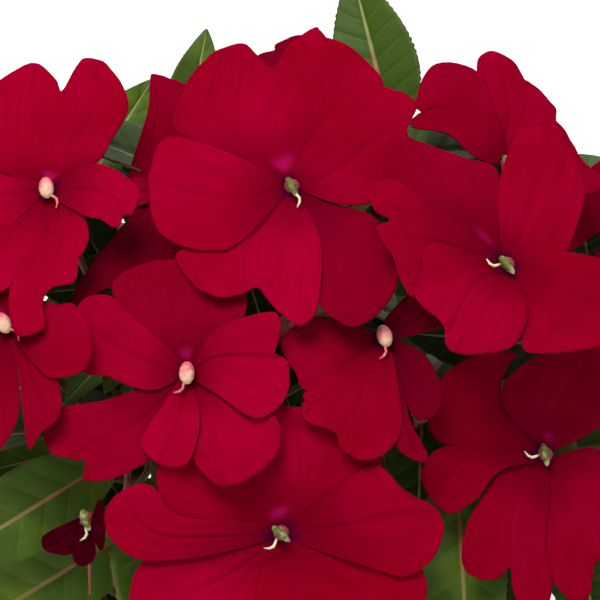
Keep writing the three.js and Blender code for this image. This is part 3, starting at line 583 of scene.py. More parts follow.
def leafMaterial():
    look = leafLook
    tree, shader, material = newMaterial("greenLeaf", **{
        "Roughness": look["roughness"], "Specular IOR Level": 0.12})
    u, v = sheetAxes(tree)
    patches, grain = mottle(tree, 60, 900, 0.25)
    # tone runs from the deep green to the blade green: a random tone on most leaves, and painted shade
    # on the inner leaves, whose tone is low
    tone = attribute(tree, "tone")
    colour = mixColours(tree, tone, look["deep"], look["blade"])
    colour = mixColours(tree, mathNode(tree, "MULTIPLY",
                        rangeNode(tree, patches, 0.45, 0.72, 0, 0.7), tone), colour, look["bright"])
    aside = mathNode(tree, "ABSOLUTE", mathNode(tree, "SUBTRACT", u, 0.5))
    phase = mathNode(tree, "SUBTRACT", mathNode(tree, "MULTIPLY", v, look["veinPairs"]),
                     mathNode(tree, "MULTIPLY", aside, look["veinSlope"] * 2))
    wave = mathNode(tree, "PINGPONG", phase, 0.5)
    side = mathNode(tree, "MULTIPLY", rangeNode(tree, wave, 0.07, 0.0),
                    rangeNode(tree, aside, 0.48, 0.30, 0, 1))
    colour = mixColours(tree, mathNode(tree, "MULTIPLY", side, 0.1), colour, look["vein"])
    rib = rangeNode(tree, aside, 0.034, 0.012)
    ribColour = mixColours(tree, rangeNode(tree, v, 0.15, 0.75), look["blushRib"], look["vein"])
    colour = mixColours(tree, rib, colour, ribColour)
    colour = mixColours(tree, rangeNode(tree, aside, 0.484, 0.499, 0, 0.8), colour,
                        look["margin"])
    tree.links.new(colour, shader.inputs["Base Color"])
    quilt = rangeNode(tree, wave, 0.0, 0.3)
    height = mathNode(tree, "ADD", mathNode(tree, "ADD", quilt, grain),
                      mathNode(tree, "MULTIPLY", rib, -0.6))
    bump(tree, shader, height, 0.3, 0.5)
    return material


stemLook = {"green": (0.085, 0.11, 0.025), "red": (0.19, 0.035, 0.025), "roughness": 0.38}


def stemMaterial(name, green, red):
    tree, shader, material = newMaterial(name, **{
        "Roughness": stemLook["roughness"], "Specular IOR Level": 0.4})
    patches, grain = mottle(tree, 120, 1400, 0.4)
    amount = mathNode(tree, "ADD", mathNode(tree, "MULTIPLY", attribute(tree, "blush"), 0.8),
                      rangeNode(tree, patches, 0.4, 0.7, 0, 0.3))
    tree.links.new(mixColours(tree, amount, green, red), shader.inputs["Base Color"])
    bump(tree, shader, grain, 0.25, 0.3)
    return material


eyeLook = {"cap": (0.72, 0.50, 0.32), "capTop": (0.55, 0.10, 0.12), "pistil": (0.085, 0.095, 0.008),
           "cream": (0.72, 0.66, 0.42)}


def eyeMaterial(name, foot, head):
    tree, shader, material = newMaterial(name, **{"Roughness": 0.5, "Specular IOR Level": 0.35})
    patches, grain = mottle(tree, 500, 2500, 0.5)
    amount = mathNode(tree, "ADD", attribute(tree, "blush"),
                      rangeNode(tree, patches, 0.35, 0.65, -0.25, 0.25))
    tree.links.new(mixColours(tree, amount, foot, head), shader.inputs["Base Color"])
    bump(tree, shader, grain, 0.4, 0.2)
    return material


potLook = {"clay": (0.36, 0.105, 0.045), "pale": (0.44, 0.16, 0.08), "roughness": 0.5}


def potMaterial():
    tree, shader, material = newMaterial("mouldedPot", **{
        "Roughness": potLook["roughness"], "Specular IOR Level": 0.4})
    patches, grain = mottle(tree, 14, 1800, 0.4)
    flow = noiseOf(tree, placed(tree, "Object", (90, 90, 7)), 1.0, 4)
    amount = mathNode(tree, "ADD", rangeNode(tree, patches, 0.35, 0.7, 0, 0.5),
                      rangeNode(tree, flow, 0.45, 0.75, 0, 0.3))
    tree.links.new(mixColours(tree, amount, potLook["clay"], potLook["pale"]),
                   shader.inputs["Base Color"])
    tree.links.new(rangeNode(tree, patches, 0.3, 0.7, 0.42, 0.6), shader.inputs["Roughness"])
    bump(tree, shader, grain, 0.2, 0.2)
    return material


soilLook = {"dark": (0.018, 0.010, 0.006), "brown": (0.075, 0.042, 0.022),
            "perlite": (0.72, 0.70, 0.64)}


def grainyMaterial(name, dark, light, roughness):
    tree, shader, material = newMaterial(name, **{"Roughness": roughness, "Specular IOR Level": 0.2})
    patches, grain = mottle(tree, 220, 1200, 1.0)
    amount = rangeNode(tree, patches, 0.35, 0.7)
    tree.links.new(mixColours(tree, amount, dark, light), shader.inputs["Base Color"])
    bump(tree, shader, grain, 0.7, 0.8)
    return material


velvetPetal = petalMaterial()
greenLeaf = leafMaterial()
shootSkin = stemMaterial("shootSkin", stemLook["green"], stemLook["red"])
stalkSkin = stemMaterial("stalkSkin", (0.12, 0.13, 0.03), (0.24, 0.02, 0.03))
budSkin = stemMaterial("budSkin", (0.10, 0.15, 0.03), (0.30, 0.01, 0.03))
capSkin = eyeMaterial("antherCap", eyeLook["cap"], eyeLook["capTop"])
pistilSkin = eyeMaterial("pistil", eyeLook["pistil"], eyeLook["cream"])
print("materials ready")


# flowers
petalForm = {"columns": 40, "rows": 22, "roundColumns": 24, "roundRows": 14, "thickness": 0.36,
             "groove": 0.5, "swell": 1.5, "ruffle": 0.9, "lip": 0.35, "foot": 1.6, "edge": 0.35}


def onGrid(x, y):
    return Vector((x - view["middle"], view["middle"] - y)) * view["step"]


def faceFrame(flower):
    yaw, pitch = (math.tan(math.radians(angle)) for angle in flower["turn"])
    place = onGrid(*flower["eye"]) * ((view["sight"] - flower["depth"]) / view["sight"])
    return {"eye": onFace((place.x, place.y, flower["depth"])), "right": across - outward * yaw,
            "up": upward - outward * pitch, "normal": outward.copy()}


def roundFrame(turn, rise, roll):
    eye = onMound(turn, rise, 1)
    normal = Vector((eye.x / mound["radius"] ** 2, eye.y / mound["radius"] ** 2,
                     (eye.z - mound["centre"].z) / mound["height"] ** 2)).normalized()
    normal.z += 0.4
    normal.normalize()
    right = Vector((0, 0, 1)).cross(normal).normalized()
    right = right * math.cos(math.radians(roll)) + normal.cross(right) * math.sin(math.radians(roll))
    return {"eye": eye, "right": right, "up": normal.cross(right), "normal": normal}


def inFrame(at, x, y, z):
    return at["eye"] + at["right"] * x + at["up"] * y + at["normal"] * z


def petalHeight(layer, s, share, wave):
    return (layer * min(1, 5 * s) - throat["depth"] * (1 - share) ** 3
            + 0.5 * share ** 3 * math.sin(wave))


def petalDetail(x, y, s, t, seed):     # soft swells shared by a flower, a groove and a ruffled edge
    form = petalForm
    spot = Vector((x, y, seed * 9)) * 0.075
    height = form["swell"] * smoothStep(0.05, 0.5, s) * noise.noise(spot)
    rim = smoothStep(0.55, 1, max(s, abs(t) * smoothStep(0.2, 0.6, s)))
    height += form["ruffle"] * rim * noise.noise(spot * 3.1)
    height -= form["groove"] * math.exp(-(t / 0.09) ** 2) * 4 * s * max(0, 1 - s * 0.9)
    height -= form["groove"] * 0.4 * s * (1 - s) * 4 * abs(math.sin(t * 7 + seed))
    return height + form["lip"] * smoothStep(0.9, 1, s) * noise.noise(spot * 6)


def petalPoint(petal, s, t, seed):
    angle, length, spread, notch, layer, notchPlace = petal
    q = math.sin(math.pi / 2 * t)
    shoulder = 0.35 + 0.65 * max(0, 1 - abs(q) ** 3) ** (1 / 3)
    reach = length * shoulder * (1 - notch * math.exp(-((q - notchPlace) / 0.2) ** 2))
    reach *= 1 + 0.04 * noise.noise(Vector((q * 5, seed, 0)))
    r = throat["radius"] + (reach - throat["radius"]) * s
    turn = math.radians(angle + spread * q)
    x, y = r * math.cos(turn), r * math.sin(turn)
    height = petalHeight(layer, s, min(1, r / length), 3.1 * q + angle)
    return x, y, height + petalDetail(x, y, s, t, seed)


def onFlower(flower, x, y):            # a point of the view's grid on the tilted plane of a flower
    slope = Vector([math.tan(math.radians(angle)) for angle in flower["turn"]])
    near = view["sight"] - flower["depth"]
    place = onGrid(*flower["eye"]) * (near / view["sight"])
    ray = onGrid(x, y)
    return ray * ((near - slope.dot(place)) / (view["sight"] - slope.dot(ray))) - place


def splineAt(points, share):           # a smooth line through the points
    last = len(points) - 1
    step = min(last - 1, int(share * last))
    u = share * last - step
    p0, p1, p2, p3 = (points[min(last, max(0, step + k))] for k in (-1, 0, 1, 2))
    return (p1 * 2 + (p2 - p0) * u + (p0 * 2 - p1 * 5 + p2 * 4 - p3) * u ** 2
            + (p1 * 3 - p0 - p2 * 3 + p3) * u ** 3) * 0.5


def outlinePetal(flower, petal, order, seed):      # a sheet between throat, flanks and tip
    layer, outline = petal
    points = [onFlower(flower, *outline[i:i + 2]) for i in range(0, len(outline), 2)]
    middle = sum(points, Vector((0, 0))).normalized()
    side = Vector((-middle.y, middle.x))
    spans = [point.dot(side) for point in points]
    slimness = max(point.dot(middle) for point in points) / (max(spans) - min(spans))
    flank = min(0.38, 0.2 + 0.08 * slimness)
    length = max(point.length for point in points)
    first, last = (middle * throat["radius"] + side * half
                   for half in (-petalForm["foot"], petalForm["foot"]))
    line = [first, *points, last]
    right, left = splineAt(line, flank), splineAt(line, 1 - flank)

    def place(s, t):
        u = (t + 1) / 2
        tip = splineAt(line, flank + (1 - 2 * flank) * u)
        flanks = splineAt(line, flank * s).lerp(splineAt(line, 1 - flank * s), u)
        x, y = first.lerp(last, u) * (1 - s) + tip * s + flanks - (
            first.lerp(last, u).lerp(right.lerp(left, u), s))
        edge = petalForm["edge"] * smoothStep(0.5, 1, s) * noise.noise(Vector((x, y, seed)) * 0.35)
        height = petalHeight(layer, s, min(1, math.hypot(x, y) / length), 3.1 * t + order)
        height += petalDetail(x, y, s, t, seed)
        return x * (1 + edge / length), y * (1 + edge / length), height
    return place


def petalsPiece(name, at, places, seed, columns, rows, upper):
    bm, layers = newMesh("tone", "shade", "dorsal")
    chance = random.Random(seed)
    # each petal's amount of painted shade, for petals that stand in shadow
    shades = paintedPetalShade.get(name, (0,) * len(places))
    for index, place in enumerate(places):
        addSheet(bm, layers, columns, rows, lambda s, t: inFrame(at, *place(s, t)),
                 tone=chance.random(), shade=shades[index], dorsal=1.0 if index == upper else 0.0)
    return finishPiece(name + "Petals", bm, velvetPetal, (name,), petalForm["thickness"])


def polar(angle, distance, height):
    turn = math.radians(angle)
    return distance * math.cos(turn), distance * math.sin(turn), height


def eyePiece(name, at):
    kind, lean, thread = eyeForms.get(name, ("pistil", -70, -100))
    bm, layers = newMesh("blush")
    if kind == "cap":                  # a knob of fused anthers that leans over the throat
        reach = ((-2.3, -1.8), (-2.1, 0.3), (-1.4, 1.5), (-0.2, 2.0),
                 (1.0, 1.8), (1.8, 1.2), (2.2, 0.6))
        path = [inFrame(at, *polar(lean, along, z)) for along, z in reach]
        addTube(bm, layers, path, (1.0, 1.6, 2.0, 2.1, 1.8, 1.2, 0.4), 16,
                {"blush": (1.2, 1.2, 1.1, 0.6, 0.1, 0, 0)})
        skin = capSkin
    else:                              # a green pistil lying over the throat, with a pale tip
        reach = ((-2.4, -1.6), (-2.0, 0.2), (-1.0, 1.3), (0.2, 1.9),
                 (1.4, 1.9), (2.3, 1.4), (2.9, 0.9))
        path = [inFrame(at, *polar(lean, along, z)) for along, z in reach]
        addTube(bm, layers, path, (0.7, 0.95, 1.1, 1.05, 0.9, 0.65, 0.25), 14,
                {"blush": (0, 0, 0, 0, 0, 0.5, 1)})
        skin = pistilSkin
    curl = [inFrame(at, *polar(thread + 14 * math.sin(k * 0.9), 1.6 + 1.05 * k,
                               1.6 + 0.25 * math.sin(k))) for k in range(5)]
    addTube(bm, layers, curl, (0.25, 0.38, 0.4, 0.34, 0.15), 8, {"blush": (0.2, 0.9, 0.9, 0.9, 0.9)})
    return finishPiece(name + "Eye", bm, skin, (name,))


def flowerStem(name, at, flower):
    bm, layers = newMesh("blush")
    back = -at["normal"]
    stalkTube(bm, layers, inFrame(at, 0, 0, -throat["depth"] - 1.6), back, flower)
    start = inFrame(at, 0, 0, -throat["depth"] - 2)
    down = -at["up"].normalized()
    size = stem["spurLength"]
    bends = [start] + [start + back * (depth * size) + down * (drop * size)
                       for depth, drop in ((0.25, 0.08), (0.4, 0.5), (0.3, 0.9))]
    count = 14
    radii = [stem["spur"] * (1.25 - 0.8 * i / count) for i in range(count + 1)]
    addTube(bm, layers, bezierPath(bends, count), radii, 8, {"blush": [0.9] * (count + 1)})
    hub = [inFrame(at, 0, 0, z) for z in (-5.2, -4.4, -3.4, -2.4, -1.6)]
    addTube(bm, layers, hub, (1.2, 1.8, 2.2, 2.3, 1.5), 12, {"blush": (0.4, 0.6, 0.9, 1, 1)})
    return finishPiece(name + "Stalk", bm, stalkSkin, (name,))


def makeFlowers():
    seed = 1
    for name, flower in faceFlowers.items():
        at = faceFrame(flower)
        places = [outlinePetal(flower, petal, order, seed)
                  for order, petal in enumerate(flower["petals"])]
        heights = [sum(outline[1::2]) / len(outline) for layer, outline in flower["petals"]]
        upper = heights.index(min(heights))
        petalsPiece(name, at, places, seed, petalForm["columns"], petalForm["rows"], upper)
        eyePiece(name, at)
        flowerStem(name, at, flower)
        seed += 1
    for name, flower in roundFlowers.items():
        turn, rise, roll, size = flower["pose"]
        at = roundFrame(turn, rise, roll)
        petals = [(angle, length * size, *rest) for angle, length, *rest in plainPetals]
        places = [partial(petalPoint, petal, seed=seed) for petal in petals]
        petalsPiece(name, at, places, seed, petalForm["roundColumns"], petalForm["roundRows"], 0)
        eyePiece(name, at)
        flowerStem(name, at, flower)
        seed += 1
    print("flowers made:", seed - 1)


makeFlowers()


# leaves
leafForm = {"columns": 14, "rows": 44, "faceColumns": 18, "faceRows": 56, "innerColumns": 12,
            "innerRows": 36, "thickness": 0.5, "teeth": 26, "toothDepth": 0.05,
            "quilt": 0.35, "veinPairs": leafLook["veinPairs"]}


def bladeWidth(s, petiole):
    share = max(0, (s - petiole) / (1 - petiole))
    return max(0, math.sin(math.pi * share ** 0.78)) ** 0.85


def leafDetail(s, t, half):            # teeth along the edge, and the lift between side veins
    form = leafForm
    tooth = abs((s * form["teeth"]) % 1 - 0.5) * 2
    wide = t * (1 - form["toothDepth"] * tooth * abs(t) ** 10) if half > 3 else t
    phase = (s * form["veinPairs"] - abs(t) * leafLook["veinSlope"]) % 1
    lift = form["quilt"] * math.sin(math.pi * phase) * (1 - abs(t) ** 3) * smoothStep(2, 6, half)
    return wide, lift - 0.5 * math.exp(-(t / 0.08) ** 2) * smoothStep(2, 6, half)


def leafPoint(leaf, s, t, lift=0.0, plain=False):
    heading, level = bearing(leaf["turn"]), Vector((0, 0, 1))
    bend, start = math.radians(leaf["droop"]), math.radians(leaf["rise"])
    now = start - bend * s
    along = leaf["length"] / bend * (math.sin(start) - math.sin(now))
    height = leaf["length"] / bend * (math.cos(now) - math.cos(start))
    top = heading * -math.sin(now) + level * math.cos(now)
    way = heading * math.cos(now) + level * math.sin(now)
    half = leaf["width"] * bladeWidth(s, 0.16)
    wide = t
    if plain:
        half = max(1.5 if s < 0.9 else 0.5, half)
    else:
        half = max(1.1 if s < 0.5 else 0.12, half)
        wide, more = leafDetail(s, t, half)
        lift += more + leaf["wave"] * math.sin(s * 9 + leaf["mark"]) * abs(t) ** 2
    fold = 0.28 * abs(t) * (half - 1.5 if plain else max(0, half - 1.5)) * min(1, s * 5)
    return (leaf["base"] + heading * along + level * height + way.cross(top) * (half * wide)
            + top * (fold + lift))


def whorlLeaf(shoot, step, turn, pose):
    centre, axis = shootPlaces[shoot, step]
    out = bearing(turn + pose["swing"])
    away = (out - axis * out.dot(axis)).normalized()
    return {"base": centre + away * (stem["shoot"] + 1.7), "turn": turn + pose["swing"],
            "rise": pose["rise"], "droop": pose["droop"], "length": pose["length"],
            "width": pose["length"] * 0.17, "foot": centre + away * (stem["shoot"] - 0.6)}


leafPoses = [{"length": length, "swing": swing, "rise": rise, "droop": droop}
             for length in (84, 70, 58) for swing in (0, 16, -16, 30, -30)
             for rise, droop in ((30, 60), (12, 50), (50, 80), (-8, 40), (66, 70), (-26, 30))]


def grownLeaf(tree, shoot, step, turn):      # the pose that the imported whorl's own leaf has
    for pose in leafPoses:
        leaf = whorlLeaf(shoot, step, turn, pose)
        corners = [leafPoint(leaf, s, t, side * 0.45, True) * mm
                   for s, t in ((1, -1), (1, 1), (2 / 3, 1)) for side in (-1, 1)]
        if all(tree.find(corner)[2] < 0.05 * mm for corner in corners):
            return leaf
    return None


def whorlSteps(shoot):
    if shoot < upperShoots:
        return [11, 8]
    return [10, 6] if shoot < 6 else [10]


def addLeaf(bm, layers, leaf, chance):
    leaf.update(wave=chance.uniform(0.3, 0.9), mark=chance.uniform(0, 6))
    addSheet(bm, layers, leafForm["columns"], leafForm["rows"], lambda s, t: leafPoint(leaf, s, t),
             tone=chance.uniform(0.35, 1))
    addTube(bm, layers, [leaf["foot"], leaf["base"], leafPoint(leaf, 0.07, 0, 0, True),
                         leafPoint(leaf, 0.14, 0, 0, True), leafPoint(leaf, 0.3, 0, -0.2, True)],
            (1.7, 1.4, 1.2, 1.1, 0.4), 8, {"tone": (0.6,) * 5})


def makeWhorls():
    chance = random.Random(7)
    places = [(shoot, step, shoots[shoot][0] + order * 30 + shoot * 17)
              for shoot in range(len(shoots)) for order, step in enumerate(whorlSteps(shoot))]
    total = 0
    for index, (shoot, step, start) in enumerate(places):
        name = f"whorl_{index + 1}"
        points = [vert.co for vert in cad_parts[name].data.vertices]
        tree = kdtree.KDTree(len(points))
        for number, point in enumerate(points):
            tree.insert(point, number)
        tree.balance()
        count = 5 if shoot < upperShoots else 6
        bm, layers = newMesh("tone")
        for order in range(count):
            leaf = grownLeaf(tree, shoot, step, start + 360 / count * order)
            if leaf:
                addLeaf(bm, layers, leaf, chance)
                total += 1
        finishPiece(f"whorlLeaves{index + 1}", bm, greenLeaf, (name,), leafForm["thickness"])
    print("whorls made:", len(places), "with", total, "leaves")


def faceLeafPoint(leaf, s, t, plain=False):
    start, tip = onFace(leaf["foot"]), onFace(leaf["tip"])
    du, dv = leaf["tip"][0] - leaf["foot"][0], leaf["tip"][1] - leaf["foot"][1]
    size = math.hypot(du, dv)
    sideways = across * (dv / size) - upward * (du / size) + outward * leaf["slope"]
    half = leaf["width"] * bladeWidth(s, 0)
    wide, lift = t, 0
    if not plain:
        half = max(1.0 if s < 0.5 else 0.12, half)
        wide, lift = leafDetail(s, t, half)
        lift += 0.6 * math.sin(s * 9 + leaf["width"]) * abs(t) ** 2
    return (start.lerp(tip, s) + sideways * (half * wide)
            + outward * (leaf["bulge"] * 4 * s * (1 - s) + 0.25 * abs(t) * max(0, half - 1.3) + lift))


def makeInnerLeaves():                  # leaves that fill the gaps between the flowers, their low tone painted shade
    chance = random.Random(3)
    for index, (foot, tip, width, tone) in enumerate(innerLeaves):
        leaf = {"foot": foot, "tip": tip, "width": width, "bulge": 2,
                "slope": chance.uniform(-0.2, 0.2)}
        bm, layers = newMesh("tone")
        addSheet(bm, layers, leafForm["innerColumns"], leafForm["innerRows"],
                 lambda s, t: faceLeafPoint(leaf, s, t), tone=tone)
        finishPiece(f"innerLeaf{index + 1}", bm, greenLeaf, (), leafForm["thickness"])


def makeFaceLeaves():
    for name, leaf in faceLeaves.items():
        bm, layers = newMesh("tone")
        addSheet(bm, layers, leafForm["faceColumns"], leafForm["faceRows"],
                 lambda s, t: faceLeafPoint(leaf, s, t), tone=leaf["tone"])
        finishPiece(name + "Blade", bm, greenLeaf, (name,), leafForm["thickness"])
        bm, layers = newMesh("blush")
        back = (onFace(leaf["foot"]) - onFace(leaf["tip"])).normalized() - outward * 0.6
        stalkTube(bm, layers, faceLeafPoint(leaf, 0.03, 0, True), back.normalized(), leaf)
        finishPiece(name + "Stalk", bm, stalkSkin, (name,))


makeWhorls()
makeFaceLeaves()
makeInnerLeaves()
print("leaves made")


# stems, buds, soil and pot
stemForm = {"rings": 48, "mainRings": 16, "taper": 0.18, "swell": 1.3, "swellReach": 3.2}


def makeStems():
    form = stemForm
    count = form["rings"]
    for index, given in enumerate(shoots):
        path = bezierPath(shootPoints(*given), count)
        joints = [shootPlaces[index, step][0] for step in whorlSteps(index)]
        swell = [max(math.exp(-((point - joint).length / form["swellReach"]) ** 2) for joint in joints)
                 for point in path]
        radii = [stem["shoot"] * (1.0 - form["taper"] * i / count) + form["swell"] * swell[i]
                 for i in range(count + 1)]
        foot = path[0] - (path[1] - path[0]).normalized() * 1.2
        tip = path[-1] + (path[-1] - path[-2]).normalized() * 1.6
        bm, layers = newMesh("blush")
        addTube(bm, layers, [foot] + path + [tip], [radii[0] + 0.4] + radii + [0.8], 16,
                {"blush": [1] + [0.25 + 0.75 * value for value in swell] + [0.5]})
        finishPiece(f"shoot{index + 1}Stem", bm, shootSkin, (f"shoot_{index + 1}",))
    count = form["mainRings"]
    bm, layers = newMesh("blush")
    heights = [stem["foot"] + (stem["top"] - stem["foot"]) * k / count for k in range(count + 1)]
    radii = [stem["main"] * (1 - 0.05 * math.sin(k * 0.9) ** 2) for k in range(count + 1)]
    path = [Vector((0, 0, height)) for height in heights] + [Vector((0, 0, stem["top"] + 0.2))]
    blush = [0.5 + 0.3 * math.sin(k) for k in range(count + 2)]
    addTube(bm, layers, path, radii + [5.0], 24, {"blush": blush})
    finishPiece("mainStem", bm, shootSkin, ("main_stem",))


budForm = {"half": 5.4, "radius": 3.1, "steps": 14}


def makeBuds():
    steps = budForm["steps"]
    for name, bud in buds.items():
        bm, layers = newMesh("blush")
        way = bud["way"].normalized()
        path = [bud["at"] + way * (budForm["half"] * (2 * k / steps - 1)) for k in range(steps + 1)]
        radii = [max(0.25, budForm["radius"] * math.sin(math.pi * k / steps) ** 0.8
                     * (1 - 0.25 * k / steps)) for k in range(steps + 1)]
        addTube(bm, layers, path, radii, 14,
                {"blush": [smoothStep(0.35, 0.9, k / steps) for k in range(steps + 1)]})
        stalkTube(bm, layers, bud["at"] - way * 3, -way, bud)
        finishPiece(name + "Bud", bm, budSkin, (name,))


potForm = {"height": 105, "wall": 2.4, "foot": 45, "mouth": 60, "rimReach": 3.6, "rimDepth": 13,
           "floor": 3, "slotWidth": 3.6, "slotLength": 14, "slotHeight": 12, "slotPlace": 29,
           "steps": 96}


def potInner(z):
    form = potForm
    lean = (form["mouth"] - form["foot"] + form["wall"]) * z / form["height"]
    return form["foot"] - form["wall"] + lean


def arcPoints(x, z, radius, first, last, count):
    return [(x + radius * math.cos(math.radians(first + (last - first) * k / count)),
             z + radius * math.sin(math.radians(first + (last - first) * k / count)))
            for k in range(count + 1)]


def makePot():
    form = potForm
    rimFoot = form["height"] - form["rimDepth"]
    outer = potInner(rimFoot) + form["wall"]
    lip = outer + form["rimReach"]
    profile = [(0.4, 0), (30, 0), *arcPoints(form["foot"] - 1.2, 1.2, 1.2, -90, 0, 4),
               (potInner(30) + form["wall"], 30), (potInner(60) + form["wall"], 60),
               (outer - 0.3, rimFoot - 1.0), (outer + 0.8, rimFoot),
               *arcPoints(lip - 1.4, rimFoot + 1.4, 1.4, -90, 0, 4),
               *arcPoints(lip - 1.8, form["height"] - 1.8, 1.8, 0, 90, 5),
               *arcPoints(potInner(form["height"]) + 1.2, form["height"] - 1.2, 1.2, 90, 180, 4),
               (potInner(60), 60), (potInner(20), 20),
               *arcPoints(potInner(form["floor"]) - 2, form["floor"] + 2, 2, 0, -90, 3),
               (20, form["floor"]), (0.4, form["floor"])]
    bm = bmesh.new()
    layers = bm.loops.layers.uv.new("UVMap")
    chain = [bm.verts.new((x * mm, 0, z * mm)) for x, z in profile]
    edges = [bm.edges.new(pair) for pair in zip(chain, chain[1:])]
    bmesh.ops.spin(bm, geom=chain + edges, axis=(0, 0, 1), cent=(0, 0, 0), dvec=(0, 0, 0),
                   angle=math.tau, steps=form["steps"], use_merge=True)
    bmesh.ops.holes_fill(bm, edges=[edge for edge in bm.edges if edge.is_boundary])
    bmesh.ops.recalc_face_normals(bm, faces=bm.faces)
    pot = finishPiece("potShell", bm, potMaterial(), ("pot",))
    cutters = bmesh.new()
    slotSize = Vector((form["slotLength"], form["slotWidth"], form["slotHeight"])) * mm
    for turn in range(0, 360, 60):
        box = bmesh.ops.create_cube(cutters, size=1)["verts"]
        matrix = Matrix.Rotation(math.radians(turn), 3, "Z")
        bmesh.ops.scale(cutters, verts=box, vec=slotSize)
        bmesh.ops.translate(cutters, verts=box, vec=(form["slotPlace"] * mm, 0, 0))
        bmesh.ops.rotate(cutters, verts=box, cent=(0, 0, 0), matrix=matrix)
    cutterMesh = bpy.data.meshes.new("slots")
    cutters.to_mesh(cutterMesh)
    cutters.free()
    cutter = bpy.data.objects.new("slots", cutterMesh)
    bpy.context.scene.collection.objects.link(cutter)
    cut = pot.modifiers.new("slots", "BOOLEAN")
    cut.operation, cut.solver, cut.object = "DIFFERENCE", "EXACT", cutter
    bpy.context.view_layer.update()
    done = bpy.data.meshes.new_from_object(pot.evaluated_get(bpy.context.evaluated_depsgraph_get()))
    pot.modifiers.clear()
    pot.data = done
    bpy.data.objects.remove(cutter)
    done.shade_smooth()
    done.set_sharp_from_angle(angle=math.radians(40))


soilForm = {"top": 92, "radius": 57.2, "foot": 3.4, "footShare": 0.76, "grid": 90, "crumbs": 260,
            "perlite": 46}


def soilHeight(x, y):
    spot = Vector((x, y, 0))
    rise = (1.2 * noise.noise(spot * 0.09) + 0.9 * noise.noise(spot * 0.33)
            + 0.5 * noise.noise(spot * 0.9))
    edge = math.hypot(x, y) / soilForm["radius"]
    return soilForm["top"] - 0.4 + rise - 2.5 * smoothStep(0.88, 1, edge)


def makeSoil():
    form = soilForm
    bm = bmesh.new()
    bm.loops.layers.uv.new("UVMap")
    made = bmesh.ops.create_grid(bm, x_segments=form["grid"], y_segments=form["grid"], size=1)["verts"]
    for vert in made:
        x, y = vert.co.x, vert.co.y       # the square is drawn into a disc
        x, y = x * math.sqrt(1 - y * y / 2), y * math.sqrt(1 - x * x / 2)
        x, y = x * form["radius"], y * form["radius"]
        vert.co = Vector((x, y, soilHeight(x, y))) * mm
    rim = [edge for edge in bm.edges if edge.is_boundary]
    wall = bmesh.ops.extrude_edge_only(bm, edges=rim)["geom"]
    low = [item for item in wall if isinstance(item, bmesh.types.BMVert)]
    for vert in low:
        vert.co = Vector((vert.co.x * form["footShare"], vert.co.y * form["footShare"],
                          form["foot"] * mm))
    bmesh.ops.holes_fill(bm, edges=[edge for edge in bm.edges if edge.is_boundary])
    bmesh.ops.recalc_face_normals(bm, faces=bm.faces)
    skin = grainyMaterial("pottingSoil", soilLook["dark"], soilLook["brown"], 0.9)
    finishPiece("soilBody", bm, skin, ("soil",))
    addGrains("soilCrumbs", form["crumbs"], (0.7, 1.9), skin, 3)
    pale = grainyMaterial("perlite", (0.5, 0.48, 0.42), soilLook["perlite"], 0.8)
    addGrains("perliteGrains", form["perlite"], (0.6, 1.3), pale, 5)


def addGrains(name, count, sizes, skin, seed):
    chance = random.Random(seed)
    bm = bmesh.new()
    bm.loops.layers.uv.new("UVMap")
    for _ in range(count):
        r = (soilForm["radius"] - 3) * math.sqrt(chance.uniform(0.03, 1))
        turn = chance.uniform(0, math.tau)
        x, y, size = r * math.cos(turn), r * math.sin(turn), chance.uniform(*sizes)
        made = bmesh.ops.create_icosphere(bm, subdivisions=1, radius=size * mm)["verts"]
        stretch = (chance.uniform(0.7, 1.3), chance.uniform(0.7, 1.3), chance.uniform(0.6, 1))
        bmesh.ops.scale(bm, verts=made, vec=stretch)
        for vert in made:
            vert.co *= 1 + 0.35 * noise.noise(vert.co * 900 + Vector((x, y, 0)))
        bmesh.ops.translate(bm, verts=made, vec=Vector((x, y, soilHeight(x, y) + size * 0.3)) * mm)
    finishPiece(name, bm, skin, ("soil",))


makeStems()
makeBuds()
makePot()
makeSoil()
print("stems, buds, pot and soil made")


# studio
studio = {"floor": (0.86, 0.86, 0.85), "floorPale": (0.9, 0.9, 0.89), "world": 0.55}


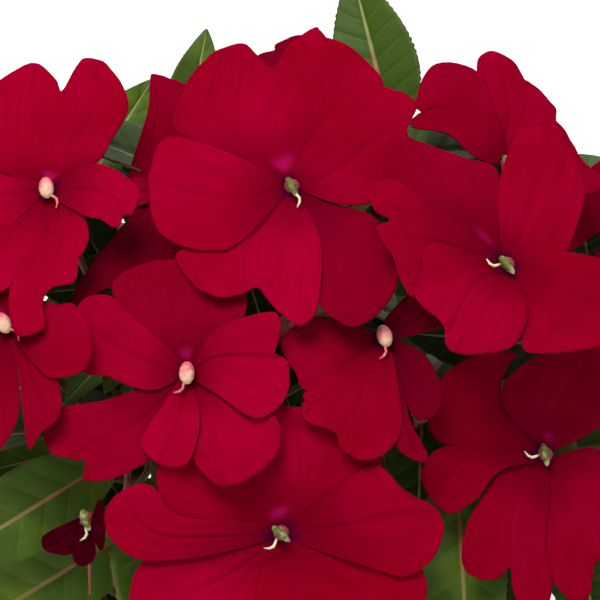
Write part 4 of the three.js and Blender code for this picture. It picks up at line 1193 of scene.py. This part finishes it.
def makeFloor():
    bm = bmesh.new()
    bmesh.ops.create_grid(bm, x_segments=1, y_segments=1, size=4)
    bmesh.ops.translate(bm, verts=bm.verts, vec=(0, 0, -0.0003))
    mesh = bpy.data.meshes.new("floor")
    bm.to_mesh(mesh)
    bm.free()
    tree, shader, material = newMaterial("paleFloor", **{"Roughness": 0.8, "Specular IOR Level": 0.1})
    patches, grain = mottle(tree, 3, 300, 0.2)
    tree.links.new(mixColours(tree, patches, studio["floor"], studio["floorPale"]),
                   shader.inputs["Base Color"])
    mesh.materials.append(material)
    floor = bpy.data.objects.new("floor", mesh)
    bpy.context.scene.collection.objects.link(floor)


def addLight(name, place, aim, size, power):
    lamp = bpy.data.lights.new(name, "AREA")
    lamp.size, lamp.energy = size, power
    light = bpy.data.objects.new(name, lamp)
    light.location = place
    light.rotation_euler = (Vector(aim) - Vector(place)).to_track_quat("-Z", "Y").to_euler()
    bpy.context.scene.collection.objects.link(light)


def makeStudio():
    makeFloor()
    heart = (0, -0.03, 0.2)
    addLight("softTop", (-0.35, -0.3, 1.6), heart, 0.8, 24)
    addLight("softFront", (0.5, -1.5, 0.9), heart, 1.2, 4)
    addLight("softBack", (0.2, 1.3, 1.2), heart, 1.4, 10)
    world = bpy.data.worlds.new("studioWhite")
    world.use_nodes = True
    world.node_tree.nodes["Background"].inputs["Color"].default_value = (1, 1, 1, 1)
    tree = world.node_tree
    seen = tree.nodes.new("ShaderNodeLightPath").outputs["Is Camera Ray"]
    strength = rangeNode(tree, seen, 0, 1, studio["world"], 1)     # the backdrop shows white
    tree.links.new(strength, tree.nodes["Background"].inputs["Strength"])
    bpy.context.scene.world = world
    bpy.context.scene.view_settings.view_transform = "Standard"
    lens = bpy.data.cameras.new("camera")
    lens.sensor_width = 36
    lens.lens = lens.sensor_width * view["sight"] / (2 * view["middle"] * view["step"])
    lens.clip_end = 20
    camera = bpy.data.objects.new("camera", lens)
    camera.location = (faceCentre + outward * view["sight"]) * mm
    camera.rotation_euler = (-outward).to_track_quat("-Z", "Y").to_euler()
    bpy.context.scene.collection.objects.link(camera)
    bpy.context.scene.camera = camera


makeStudio()
print("studio ready")
